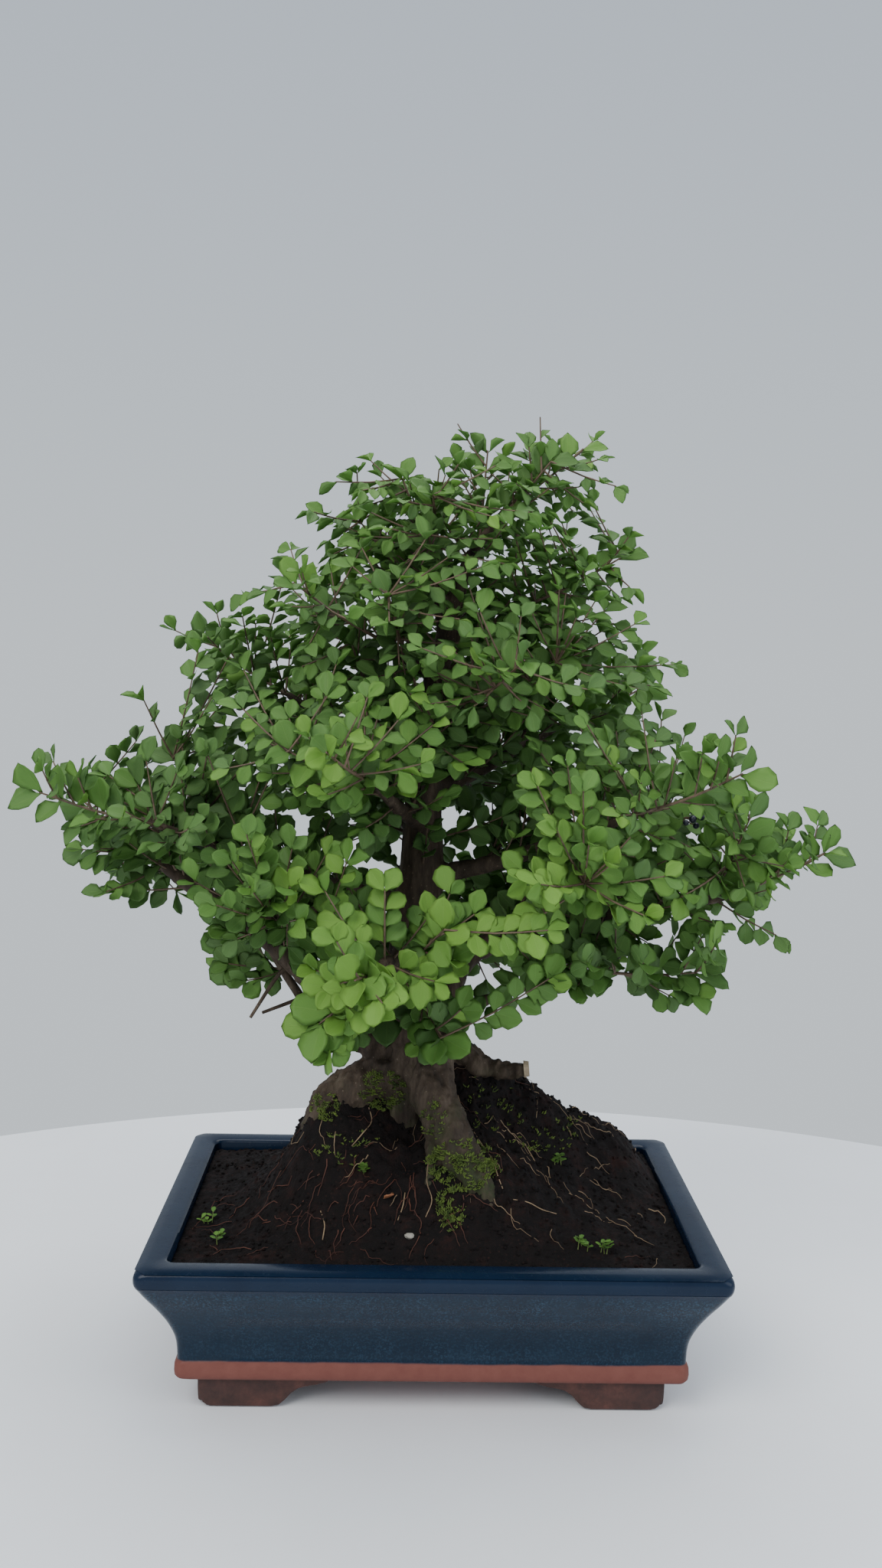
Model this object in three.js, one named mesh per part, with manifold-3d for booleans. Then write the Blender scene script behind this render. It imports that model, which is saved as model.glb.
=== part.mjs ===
// A chinese privet bonsai in a glazed tray pot: drainage screens, soil with a raised root ball, one piece of
// wood from the roots to the branch ends, and the leafy sprays that grow from it.
// Millimetres, +Z up, with the front towards -Y. The origin is the middle of the pot, level with its soles.
import * as THREE from "three";
import { mergeVertices } from "three/addons/utils/BufferGeometryUtils.js";
import Module from "manifold-3d";

const wasm = await Module();
wasm.setup();

// Clear space between two pieces that touch on the real tree.
const gap = 0.3;

// Pot: a tray with a rolled lip, hollow-curved sides, a bare clay band and four bracket feet.
const potLength = 300;
const potDepth = 200;
const potHeight = 82.5;
const footHeight = 17;
const cornerRadius = 7;
const cornerSteps = 2;
const rimWidth = 15;
const wallThickness = 8;
const floorTop = 28;
const drainRadius = 9;
const drainOffset = 62;
// Outside of the pot from the underside up: [height, how far it stands in from the lip].
const potOutside = [
  [footHeight, 20], [footHeight + 1.5, 17.8], [footHeight + 9, 17.6], [footHeight + 10.5, 19],
  [38, 18.2], [48, 14.8], [57, 10.2], [65, 5.4], [71, 2], [73.5, 0.6], [76.5, 0], [79.5, 0.2], [82, 1.8],
  [potHeight, 4],
];
// Feet: the length of the flat sole, then a curve that runs out along the underside.
const bandInset = 18;
const footInset = 11;
const footThickness = 17;
const footSoleLong = 38;
const footSoleShort = 26;
const footRunOut = 36;

// Drainage screens: a square of plastic mesh over each hole.
const screenSide = 34;
const screenThickness = 1.2;
const screenHoles = 3;
const screenHoleSide = 7.5;

// Soil: nearly level with the rim, heaped round the roots and falling back to level before it meets the pot.
const soilLevel = 77;
const soilTop = 200;
const soilStepsX = 17;
const soilStepsY = 12;
const soilEdgeFall = 20;
// Heaps: [x, y, height above the level, half width in x, half width in y].
const soilHeaps = [
  [8, 22, 90, 34, 32], [-54, 4, 56, 32, 36], [48, 32, 62, 36, 32], [92, 46, 36, 34, 28], [10, -18, 45, 52, 36],
  [0, 50, 50, 54, 30],
];
const heapBlend = 3;
const heapFall = 0.62;
// Where the heaps begin to rise, counted in from the soil's edge.
const soilEdgeStart = -6;

// Wood: rows of [x, y, z, radius] that a smooth centre line passes through.
const trunk = [
  [-10, 14, 84, 22], [-11, 13, 112, 24], [-13, 12, 140, 23], [-16, 10, 168, 19.5], [-16, 9, 190, 17],
  [-14, 8, 215, 15], [-11, 8, 250, 13.2], [-10, 8, 290, 11.4], [-10, 9, 325, 9.6], [-7, 10, 360, 7.8],
  [0, 11, 395, 6.2], [7, 11, 424, 4.8], [14, 10, 446, 3.4],
];
const roots = {
  left: [
    [-14, 8, 158, 18], [-34, 3, 150, 14], [-50, 0, 143, 12.5], [-61, -3, 132, 11], [-66, -6, 116, 8.5],
    [-68, -9, 100, 5],
  ],
  front: [
    [-6, -2, 166, 15], [0, -18, 147, 13], [8, -30, 130, 11.5], [18, -38, 114, 10], [28, -46, 97, 7.5],
    [36, -53, 78, 4.5],
  ],
  frontThin: [[0, -26, 128, 5], [-2, -40, 108, 3.4], [-5, -50, 90, 2.6], [-7, -56, 72, 2]],
  cutStub: [[4, 16, 168, 11], [22, 14, 157, 8], [38, 11, 153, 5.6], [52, 8, 155, 4.6]],
  right: [[2, 20, 146, 16], [32, 28, 128, 11], [64, 36, 110, 7], [94, 46, 84, 4]],
  back: [[-8, 22, 158, 16], [-6, 44, 134, 12], [0, 62, 108, 9], [8, 76, 78, 6]],
};
const bareTwigs = {
  leftLower: [[-80, -12, 218, 1.4], [-88, -14, 212, 1.2], [-102, -20, 190, 0.9]],
  leftInner: [[-62, -8, 206, 1.4], [-74, -12, 200, 1.2], [-95, -24, 194, 0.9]],
  leftSpur: [[-40, 0, 176, 3.4], [-66, -6, 187, 2.8], [-80, -10, 206, 2.4], [-92, -12, 226, 2]],
};
// The low limbs: how many sprays each has, where the first one leaves, their length and how steeply they rise.
const lowLimbs = {
  leftLow: {
    sprays: 7,
    first: 0.3,
    reach: 56,
    rise: 36,
    points: [
      [-22, 6, 162, 10], [-40, 0, 174, 8.6], [-56, -7, 193, 7.4], [-76, -12, 216, 6.6], [-104, -15, 242, 5.6],
      [-134, -11, 259, 4.6], [-154, -4, 272, 3.4], [-164, 0, 278, 2.4],
    ],
  },
  rightLow: {
    sprays: 7,
    first: 0.32,
    reach: 56,
    rise: 26,
    points: [
      [-2, 14, 168, 9.5], [6, 21, 190, 8], [14, 24, 212, 7.2], [34, 22, 226, 6.2], [70, 12, 240, 5.2],
      [110, 4, 249, 4.2], [146, -4, 256, 3], [162, -8, 260, 2.2],
    ],
  },
  rightSprig: {
    sprays: 2,
    first: 0.55,
    reach: 50,
    rise: -6,
    points: [[10, 20, 186, 3.2], [38, 8, 198, 2.6], [70, -2, 211, 2.2], [94, -8, 216, 1.8]],
  },
  frontLow: {
    sprays: 3,
    first: 0.4,
    reach: 52,
    rise: 0,
    points: [[-14, 0, 206, 7], [-20, -32, 222, 5.4], [-26, -58, 231, 3.8], [-30, -76, 234, 2.2]],
  },
  leaderLeft: {
    sprays: 3,
    first: 0.3,
    reach: 48,
    rise: 68,
    points: [[0, 11, 398, 4.2], [-5, 8, 430, 3.2], [-7, 5, 464, 2]],
  },
  leaderRight: {
    sprays: 3,
    first: 0.3,
    reach: 48,
    rise: 54,
    points: [[12, 10, 440, 3.4], [22, 9, 456, 2.8], [34, 8, 472, 2]],
  },
};
// The upper limbs leave the trunk in a rising spiral and reach to the crown's outline.
const upperLimbs = 11;
const spiralStart = 196;
const spiralTurn = 137.5;
const firstLimbHeight = 246;
const lastLimbHeight = 408;
const limbSteepness = 0.42;
const limbSway = 0.12;
const limbTipRadius = 2;
const shortestLimb = 26;
// The limb's end leaves this share of the sprays' length free inside the outline.
const endShare = 0.8;
const lowRise = 16;
const topRise = 48;
const upperReach = 58;
const threeSpraysBeyond = 74;
// A limb's curve: [share of its reach, share of its rise].
const limbCurve = [[0, 0], [0.34, 0.26], [0.7, 0.66], [1, 1]];
// The crown's outline: [height, reach from the trunk to either side]. Its reach to the front and back is less.
const crownOutline = [
  [200, 150], [280, 212], [330, 184], [370, 146], [411, 112], [454, 96], [495, 58], [520, 20],
];
const crownDepthShare = 0.68;
const trunkSides = 9;
const rootSides = 6;
const limbSides = 5;
const limbStep = 34;

// Sprays: a twig with pairs of leaves.
const twigRadius = 1.9;
const twigTipRadius = 1.1;
const twigSides = 3;
const twigLift = 0.12;
const spraySwing = [24, -46, 32, -8];
// A spray leaves its limb sideways by the least turn and up to the spread more, in degrees.
const leastTurn = 36;
const turnSpread = 26;
const liftSpread = 14;
const lengthSpread = 0.2;
const leafPairs = [0.22, 0.41, 0.6, 0.79, 0.97];
const leafLength = 17.5;
const leafWidthShare = 0.74;
const leafThickness = 1.3;
const leafFold = 0.16;
const leafSunk = 0.42;
const leafSpread = 55;
const spreadVariety = 26;
const faceOut = 0.8;
const faceVariety = [0.9, 0.9, 0.7];
const lengthVariety = 0.28;
// Leaves grow smaller and narrower from the lowest height to the highest.
const lowestLeaves = 200;
const highestLeaves = 460;
// A leaf that would touch another is turned round its twig, and a twig is bent, by these degrees in turn.
const leafTurns = [0, 24, -24, 48, -48, 75];
const twigBends = [0, 14, -14, 28, -28, 42, -42];
const sidewaysBend = 0.7;
const sharedTwig = 0.22;
const bareTwigSides = 4;
// The edge of one half of a leaf, as shares of its length and width, from the stalk to the point.
const leafEdge = [[0.36, 0.47], [0.72, 0.46]];
// Two small sprigs hang from the trunk's own bark.
const trunkSprigs = {
  trunkFront: { root: [-14, -2, 208], direction: [0.26, -0.86, -0.44], length: 58 },
  trunkLeft: { root: [-22, 2, 190], direction: [-0.5, -0.84, 0.05], length: 52 },
};

const up = new THREE.Vector3(0, 0, 1);
const degrees = Math.PI / 180;

const materials = {
  glaze: new THREE.MeshStandardMaterial({ color: 0x1f3550, roughness: 0.3, metalness: 0 }),
  screen: new THREE.MeshStandardMaterial({ color: 0x1c1d1c, roughness: 0.6, metalness: 0 }),
  soil: new THREE.MeshStandardMaterial({ color: 0x2a1b15, roughness: 0.95, metalness: 0 }),
  bark: new THREE.MeshStandardMaterial({ color: 0x6b5847, roughness: 0.85, metalness: 0 }),
  leaf: new THREE.MeshStandardMaterial({ color: 0x3f7d24, roughness: 0.45, metalness: 0 }),
};

// A fixed draw from 0 to 1 for three whole numbers, so that every run grows the same tree.
function draw(a, b, c) {
  let h = Math.imul(a + 1, 374761393) ^ Math.imul(b + 1, 668265263) ^ Math.imul(c + 1, 1274126177);
  h = Math.imul(h ^ (h >>> 15), 739982445);
  h = Math.imul(h ^ (h >>> 12), 695872825);
  return ((h ^ (h >>> 15)) >>> 0) / 4294967296;
}

// A closed geometry as a solid that can be cut and joined.
function solidFrom(geometry) {
  geometry.deleteAttribute("normal");
  geometry.deleteAttribute("uv");
  const merged = mergeVertices(geometry, 1e-4);
  return new wasm.Manifold(new wasm.Mesh({
    numProp: 3,
    vertProperties: merged.attributes.position.array,
    triVerts: new Uint32Array(merged.index.array),
  }));
}

// A solid back as a geometry for a mesh.
function geometryFrom(solid) {
  const made = solid.getMesh();
  const geometry = new THREE.BufferGeometry();
  geometry.setAttribute("position", new THREE.BufferAttribute(made.vertProperties, 3));
  geometry.setIndex(new THREE.BufferAttribute(made.triVerts, 1));
  geometry.computeVertexNormals();
  return geometry;
}

function largestBody(solid) {
  return solid.decompose().reduce((a, b) => (b.volume() > a.volume() ? b : a));
}

// A closed skin over a row of rings that have the same number of points, with flat ends.
function loft(rings) {
  const count = rings[0].length;
  const last = (rings.length - 1) * count;
  const faces = [];
  for (let r = 0; r < last; r += count) {
    for (let i = 0; i < count; i++) {
      const a = r + i;
      const b = r + ((i + 1) % count);
      faces.push(a, b, b + count, a, b + count, a + count);
    }
  }
  for (let i = 1; i + 1 < count; i++) faces.push(0, i + 1, i, last, last + i, last + i + 1);
  return new THREE.BufferGeometry().setFromPoints(rings.flat()).setIndex(faces);
}

// A level rectangle with round corners, drawn in from the lip by inset.
function potRing(height, inset, radius = cornerRadius) {
  const ring = [];
  const r = Math.max(radius - inset * 0.15, 2);
  const halfX = potLength / 2 - inset - r;
  const halfY = potDepth / 2 - inset - r;
  for (const [sx, sy, start] of [[1, -1, -90], [1, 1, 0], [-1, 1, 90], [-1, -1, 180]]) {
    for (let i = 0; i <= cornerSteps; i++) {
      const angle = (start + (90 * i) / cornerSteps) * degrees;
      ring.push(new THREE.Vector3(sx * halfX + r * Math.cos(angle), sy * halfY + r * Math.sin(angle), height));
    }
  }
  return ring;
}

function insideInset(height) {
  const row = potOutside.findIndex(([z]) => z >= height);
  const [[z0, in0], [z1, in1]] = [potOutside[row - 1], potOutside[row]];
  const outside = in0 + ((in1 - in0) * (height - z0)) / (z1 - z0);
  return Math.max(outside + wallThickness, rimWidth);
}

// The space inside the pot, from the floor to a given height, drawn in by a clearance.
function potInside(top, clearance) {
  const heights = [floorTop, 40, 50, 60, 68, potHeight - 2];
  const rings = heights.map((z) => potRing(z === floorTop ? z + clearance : z, insideInset(z) + clearance));
  rings.push(potRing(potHeight, rimWidth - 1 + clearance), potRing(top, rimWidth - 1 + clearance));
  return solidFrom(loft(rings));
}

// One arm of a bracket foot: a flat sole that curves up to the underside of the pot.
function footArm(sole) {
  const shape = new THREE.Shape();
  const rise = footHeight + 1;
  shape.moveTo(0, rise);
  shape.lineTo(1, 6);
  shape.quadraticCurveTo(2, 1, 7, 0);
  shape.lineTo(sole, 0);
  shape.bezierCurveTo(sole + 8, 0, sole + 9, rise * 0.55, sole + 18, rise * 0.62);
  shape.quadraticCurveTo(sole + 28, rise * 0.7, sole + footRunOut, rise);
  return new THREE.ExtrudeGeometry(shape, { depth: footThickness, bevelEnabled: false, curveSegments: 3 });
}

function foot(signX, signY) {
  const outX = potLength / 2 - bandInset - footInset;
  const outY = potDepth / 2 - bandInset - footInset * 0.6;
  const alongX = footArm(footSoleLong).rotateX(Math.PI / 2).translate(-outX, -outY + footThickness, 0);
  const alongY = footArm(footSoleShort).rotateX(Math.PI / 2).rotateZ(Math.PI / 2).translate(-outX, -outY, 0);
  let corner = solidFrom(alongX).add(solidFrom(alongY));
  if (signX > 0) corner = corner.mirror([1, 0, 0]);
  if (signY > 0) corner = corner.mirror([0, 1, 0]);
  return corner;
}

function makePot() {
  let pot = solidFrom(loft(potOutside.map(([z, inset]) => potRing(z, inset))));
  pot = pot.subtract(potInside(potHeight + 10, 0));
  for (const sx of [-1, 1]) {
    for (const sy of [-1, 1]) pot = pot.add(foot(sx, sy));
    const hole = new THREE.CylinderGeometry(drainRadius, drainRadius, 40, 16).rotateX(Math.PI / 2);
    pot = pot.subtract(solidFrom(hole.translate(sx * drainOffset, 0, floorTop - 6)));
  }
  return pot;
}

function block(wide, deep, high, x, y, z) {
  return solidFrom(new THREE.BoxGeometry(wide, deep, high).translate(x, y, z));
}

// A square of mesh that lies on the pot's floor, clear of it by the gap.
function makeScreen(x) {
  const z = floorTop + gap + screenThickness / 2;
  const pitch = screenSide / (screenHoles + 0.4);
  let screen = block(screenSide, screenSide, screenThickness, x, 0, z);
  for (let i = 0; i < screenHoles; i++) {
    for (let j = 0; j < screenHoles; j++) {
      const holeX = x + (i - (screenHoles - 1) / 2) * pitch;
      const holeY = (j - (screenHoles - 1) / 2) * pitch;
      screen = screen.subtract(block(screenHoleSide, screenHoleSide, 4, holeX, holeY, z));
    }
  }
  return screen;
}

function soilHeight(x, y) {
  let sum = 0;
  for (const [cx, cy, height, wide, deep] of soilHeaps) {
    const away = ((x - cx) / wide) ** 2 + ((y - cy) / deep) ** 2;
    sum += (height * Math.exp(-away * heapFall)) ** heapBlend;
  }
  const toEdge = Math.min(potLength / 2 - rimWidth - Math.abs(x), potDepth / 2 - rimWidth - Math.abs(y));
  return soilLevel + sum ** (1 / heapBlend) * THREE.MathUtils.smoothstep(toEdge, soilEdgeStart, soilEdgeFall);
}

// Soil: the heaped surface over the space inside the pot, with plain holes where the wood and the screens are.
function makeSoil(wood, screens) {
  const rows = [];
  for (let j = 0; j <= soilStepsY; j++) {
    for (let i = 0; i <= soilStepsX; i++) {
      const x = (i / soilStepsX - 0.5) * potLength;
      const y = (j / soilStepsY - 0.5) * potDepth;
      rows.push(new THREE.Vector3(x, y, soilHeight(x, y)));
    }
  }
  const wide = soilStepsX + 1;
  const size = rows.length;
  const faces = [];
  for (let j = 0; j < soilStepsY; j++) {
    for (let i = 0; i < soilStepsX; i++) {
      const a = j * wide + i;
      const quad = [a, a + 1, a + wide + 1, a, a + wide + 1, a + wide];
      faces.push(...quad, ...quad.map((n) => n + size).reverse());
    }
  }
  const edge = [];
  for (let i = 0; i < soilStepsX; i++) edge.push(i);
  for (let j = 0; j < soilStepsY; j++) edge.push(j * wide + soilStepsX);
  for (let i = soilStepsX; i > 0; i--) edge.push(soilStepsY * wide + i);
  for (let j = soilStepsY; j > 0; j--) edge.push(j * wide);
  edge.forEach((a, n) => {
    const b = edge[(n + 1) % edge.length];
    faces.push(a, a + size, b + size, a, b + size, b);
  });
  const points = [...rows, ...rows.map((p) => new THREE.Vector3(p.x, p.y, 0))];
  const heaped = solidFrom(new THREE.BufferGeometry().setFromPoints(points).setIndex(faces));
  let soil = potInside(soilTop, gap).intersect(heaped).subtract(wood);
  for (const screen of screens) {
    const { min, max } = screen.boundingBox();
    const [wide, deep] = [max[0] - min[0] + 2 * gap, max[1] - min[1] + 2 * gap];
    const roomTop = floorTop + screenThickness + 2 * gap;
    soil = soil.subtract(block(wide, deep, 4, (min[0] + max[0]) / 2, (min[1] + max[1]) / 2, roomTop - 2));
  }
  return largestBody(soil);
}

// A centre line with a radius, smooth through its rows of [x, y, z, radius].
function spine(rows) {
  const centres = rows.map(([x, y, z]) => new THREE.Vector3(x, y, z));
  const radii = rows.map((row) => new THREE.Vector3(row[3], 0, 0));
  const line = new THREE.CatmullRomCurve3(centres, false, "catmullrom");
  const girth = new THREE.CatmullRomCurve3(radii, false, "catmullrom");
  const point = (t) => line.getPoint(t);
  const heading = (t) => point(Math.min(t + 0.01, 1)).sub(point(Math.max(t - 0.01, 0))).normalize();
  return { point, heading, radius: (t) => girth.getPoint(t).x, length: line.getLength() };
}

// A round tapered tube along a spine. Its rings turn with the line, without a twist.
function tube(line, sides, steps, swell = 0) {
  const side = new THREE.Vector3(0.3, -1, 0.2).cross(line.heading(0)).normalize();
  const rings = [];
  for (let s = 0; s <= steps; s++) {
    const t = s / steps;
    const ahead = line.heading(t);
    side.addScaledVector(ahead, -side.dot(ahead)).normalize();
    const other = ahead.clone().cross(side);
    const centre = line.point(t).addScaledVector(ahead, s === 0 ? -swell : s === steps ? swell : 0);
    const radius = line.radius(t) + swell;
    rings.push(Array.from({ length: sides }, (_, i) => {
      const angle = (2 * Math.PI * i) / sides;
      const acrossSide = side.clone().multiplyScalar(radius * Math.cos(angle));
      return acrossSide.addScaledVector(other, radius * Math.sin(angle)).add(centre);
    }));
  }
  return solidFrom(loft(rings));
}

// How far the crown reaches from the trunk at a height, in a level direction.
function crownReach(z, x, y) {
  const row = Math.max(crownOutline.findIndex(([height]) => height >= z), 1);
  const [[z0, reach0], [z1, reach1]] = [crownOutline[row - 1], crownOutline[row]];
  const reach = reach0 + (reach1 - reach0) * THREE.MathUtils.clamp((z - z0) / (z1 - z0), 0, 1);
  return reach / Math.hypot(x, y / crownDepthShare);
}

// The upper limbs: each leaves the trunk level, then rises, and is longer where the crown is wider.
function makeUpperLimbs() {
  const stem = spine(trunk);
  return Array.from({ length: upperLimbs }, (_, i) => {
    const share = i / (upperLimbs - 1);
    const startZ = firstLimbHeight + (lastLimbHeight - firstLimbHeight) * share;
    const t = Array.from({ length: 201 }, (__, n) => n / 200).find((u) => stem.point(u).z >= startZ);
    const azimuth = (spiralStart + spiralTurn * i) * degrees;
    const out = new THREE.Vector3(Math.cos(azimuth), Math.sin(azimuth), 0);
    const side = new THREE.Vector3(-out.y, out.x, 0).multiplyScalar(limbSway * (draw(i, 90, 0) - 0.5));
    const root = stem.point(t);
    const rise = limbSteepness * (0.8 + 0.5 * share);
    const room = crownReach(startZ + 40 + 30 * share, out.x, out.y) - endShare * upperReach;
    const reach = Math.max(room, shortestLimb);
    const start = stem.radius(t) * 0.42 + 0.8;
    const rows = limbCurve.map(([u, lift]) => {
      const sway = reach * Math.sin(Math.PI * u);
      const p = root.clone().addScaledVector(out, reach * u).addScaledVector(side, sway);
      return [p.x, p.y, p.z + rise * reach * lift, start + (limbTipRadius - start) * u];
    });
    const sprays = reach > threeSpraysBeyond ? 3 : 2;
    const first = sprays === 3 ? 0.24 : 0.5;
    const sprayRise = lowRise + (topRise - lowRise) * share;
    const limb = { sprays, first, reach: upperReach, rise: sprayRise, points: rows };
    return ["upper" + String(i + 1).padStart(2, "0"), limb];
  });
}

// All the wood as one solid. With a swell it is the room that the wood takes from its neighbours.
function makeWood(limbs, swell = 0) {
  let wood = tube(spine(trunk), trunkSides, trunk.length - 1, swell);
  for (const rows of Object.values(roots)) {
    wood = wood.add(tube(spine(rows), rootSides, rows.length - 1, swell));
  }
  for (const [, { points }] of limbs) {
    const line = spine(points);
    wood = wood.add(tube(line, limbSides, Math.ceil(line.length / limbStep), swell));
  }
  for (const rows of Object.values(bareTwigs)) wood = wood.add(tube(spine(rows), bareTwigSides, 3, swell));
  return wood;
}

// The sprays' starts: along each limb, turned to either side in turn, and the last one on from the limb's end.
function sprayStarts(limbs) {
  const starts = [];
  for (const [limbName, { points, sprays, first, reach, rise }] of limbs) {
    const line = spine(points);
    for (let j = 0; j < sprays; j++) {
      const k = starts.length;
      const last = j === sprays - 1;
      const t = last ? 0.97 : first + ((1 - first) * j) / (sprays - 1);
      const ahead = line.heading(t);
      const turn = last ? 0 : (j % 2 ? -1 : 1) * (leastTurn + turnSpread * draw(k, 0, 1));
      const swing = last ? -0.4 * rise : spraySwing[k % spraySwing.length];
      const lift = rise + swing + liftSpread * (draw(k, 0, 2) - 0.5);
      const flat = new THREE.Vector3(ahead.x, ahead.y, 0).normalize().applyAxisAngle(up, turn * degrees);
      const direction = flat.multiplyScalar(Math.cos(lift * degrees));
      direction.addScaledVector(up, Math.sin(lift * degrees));
      const length = reach * (1 + lengthSpread * (draw(k, 0, 3) - 0.5));
      starts.push({ name: limbName + "_" + (j + 1), root: line.point(t), direction, length });
    }
  }
  for (const [name, { root, direction, length }] of Object.entries(trunkSprigs)) {
    const heading = new THREE.Vector3(...direction).normalize();
    starts.push({ name, root: new THREE.Vector3(...root), direction: heading, length });
  }
  return starts;
}

// A twig as a spine: it leaves straight and lifts a little towards its end.
function twig(root, direction, length) {
  const rows = [0, 0.5, 1].map((t) => {
    const p = root.clone().addScaledVector(direction, length * t);
    p.addScaledVector(up, twigLift * length * t * t);
    return [p.x, p.y, p.z, twigRadius + (twigTipRadius - twigRadius) * t];
  });
  return spine(rows);
}

// One blade: thick at the middle, thin at the edge, and folded up a little on either side of the midrib.
function blade(leaf, swell = 0) {
  const across = leaf.face.clone().cross(leaf.along);
  const at = (u, v, lift) => leaf.root.clone()
    .addScaledVector(leaf.along, u * leaf.length + (u - 0.5) * 2 * swell)
    .addScaledVector(across, v * (leaf.width + 4 * swell))
    .addScaledVector(leaf.face, Math.abs(v) * leaf.width * leafFold + lift);
  const left = leafEdge.map(([u, v]) => at(u, v, 0));
  const right = leafEdge.map(([u, v]) => at(u, -v, 0)).reverse();
  const outline = [at(0, 0, 0), ...left, at(1, 0, 0), ...right];
  const half = leafThickness / 2 + swell;
  const n = outline.length;
  const faces = [];
  for (let i = 0; i < n; i++) {
    const j = (i + 1) % n;
    faces.push(i, n, j, i, j, n + 1);
  }
  const points = [...outline, at(0.5, 0, half), at(0.5, 0, -half)];
  return solidFrom(new THREE.BufferGeometry().setFromPoints(points).setIndex(faces));
}

// Where one leaf of a pair sits on its twig. Low leaves are larger and face out; high ones face up.
function leafPose(k, n, line, t, hand, turn) {
  const ahead = line.heading(t);
  const root = line.point(t);
  const height = THREE.MathUtils.clamp((root.z - lowestLeaves) / (highestLeaves - lowestLeaves), 0, 1);
  const face = new THREE.Vector3(root.x / 240, root.y / 160, 0.25 + 0.5 * height);
  face.y += root.y > trunk[0][1] ? faceOut : -faceOut;
  face.x += faceVariety[0] * (draw(k, n, 4) - 0.5);
  face.y += faceVariety[1] * (draw(k, n, 5) - 0.5);
  face.z += faceVariety[2] * (draw(k, n, 6) - 0.5);
  const side = ahead.clone().cross(face).normalize().multiplyScalar(hand);
  const spread = (leafSpread + spreadVariety * (draw(k, n, 7) - 0.5)) * (t > 0.9 ? 0.7 : 1) * degrees;
  const along = ahead.clone().multiplyScalar(Math.cos(spread)).addScaledVector(side, Math.sin(spread));
  along.applyAxisAngle(ahead, turn * degrees);
  face.applyAxisAngle(ahead, turn * degrees);
  face.addScaledVector(along, -face.dot(along)).normalize();
  root.addScaledVector(along, leafSunk * line.radius(t));
  const length = leafLength * (1.12 - 0.24 * height) * (1 + lengthVariety * (draw(k, n, 8) - 0.5));
  const width = length * leafWidthShare * (1.1 - 0.2 * height);
  return { root, along, face, length, width };
}

function boxesMeet(a, b) {
  return [0, 1, 2].every((i) => a.min[i] < b.max[i] && b.min[i] < a.max[i]);
}

// Whether a solid is clear of every placed one.
function isClear(solid, placed) {
  const box = solid.boundingBox();
  return placed.every((other) => !boxesMeet(box, other.box) || solid.intersect(other.solid).isEmpty());
}

function asPlaced(solid) {
  return { solid, box: solid.boundingBox() };
}

// The outer part of a twig, swollen by the gap: it may cross nothing.
function outerTwig(line, from) {
  const part = {
    point: (t) => line.point(from + (1 - from) * t),
    heading: (t) => line.heading(from + (1 - from) * t),
    radius: (t) => line.radius(from + (1 - from) * t),
  };
  return tube(part, twigSides, 1, gap);
}

// Bends a twig up or down, and to either side, until it is clear. Returns nothing where no bend helps.
function clearTwig({ root, direction, length }, placed) {
  for (const bend of twigBends) {
    const flat = new THREE.Vector3(-direction.y, direction.x, 0).normalize();
    const turned = direction.clone().applyAxisAngle(flat, bend * degrees);
    turned.applyAxisAngle(up, bend * sidewaysBend * degrees);
    const line = twig(root, turned, length);
    if (isClear(outerTwig(line, sharedTwig), placed)) return line;
  }
  return null;
}

// One spray: its twig and leaves fused, clear of the wood and of every spray placed before it.
function makeSpray(k, start, woodRoom, placed) {
  const line = clearTwig(start, placed);
  if (!line) return null;
  let solid = tube(line, twigSides, 1);
  const own = [];
  leafPairs.forEach((t, pair) => [1, -1].forEach((hand) => {
    for (const turn of leafTurns) {
      const leaf = leafPose(k, pair * 2 + (hand > 0 ? 0 : 1), line, t, hand, turn * hand);
      const room = blade(leaf, gap);
      if (!isClear(room, placed) || !isClear(outerBlade(leaf), own)) continue;
      solid = solid.add(blade(leaf));
      own.push(asPlaced(room));
      return;
    }
  }));
  return largestBody(solid.subtract(woodRoom));
}

// The blade without its stalk end, which both leaves of a pair share with the twig.
function outerBlade(leaf) {
  const root = leaf.root.clone().addScaledVector(leaf.along, leaf.length * 0.2);
  return blade({ ...leaf, root, length: leaf.length * 0.8, width: leaf.width });
}

const bonsai = new THREE.Group();
bonsai.name = "chinesePrivetBonsai";

function place(name, solid, material) {
  const mesh = new THREE.Mesh(geometryFrom(solid), material);
  mesh.name = name;
  bonsai.add(mesh);
}

const limbs = [...Object.entries(lowLimbs), ...makeUpperLimbs()];
const woodRoom = makeWood(limbs, gap);
const screens = [makeScreen(-drainOffset), makeScreen(drainOffset)];
place("pot", makePot(), materials.glaze);
place("drain_screen_left", screens[0], materials.screen);
place("drain_screen_right", screens[1], materials.screen);
const soil = makeSoil(woodRoom, screens);
place("soil", soil, materials.soil);
place("wood", makeWood(limbs), materials.bark);

const placed = [asPlaced(woodRoom), asPlaced(soil)];
sprayStarts(limbs).forEach((start, k) => {
  const solid = makeSpray(k, start, woodRoom, placed);
  if (!solid) return;
  placed.push(asPlaced(solid));
  place("spray_" + start.name, solid, materials.leaf);
});

export default bonsai;
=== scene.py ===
import math
import random

import bmesh
import bpy
from mathutils import Matrix, Vector, kdtree, noise
from mathutils.bvhtree import BVHTree


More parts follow.
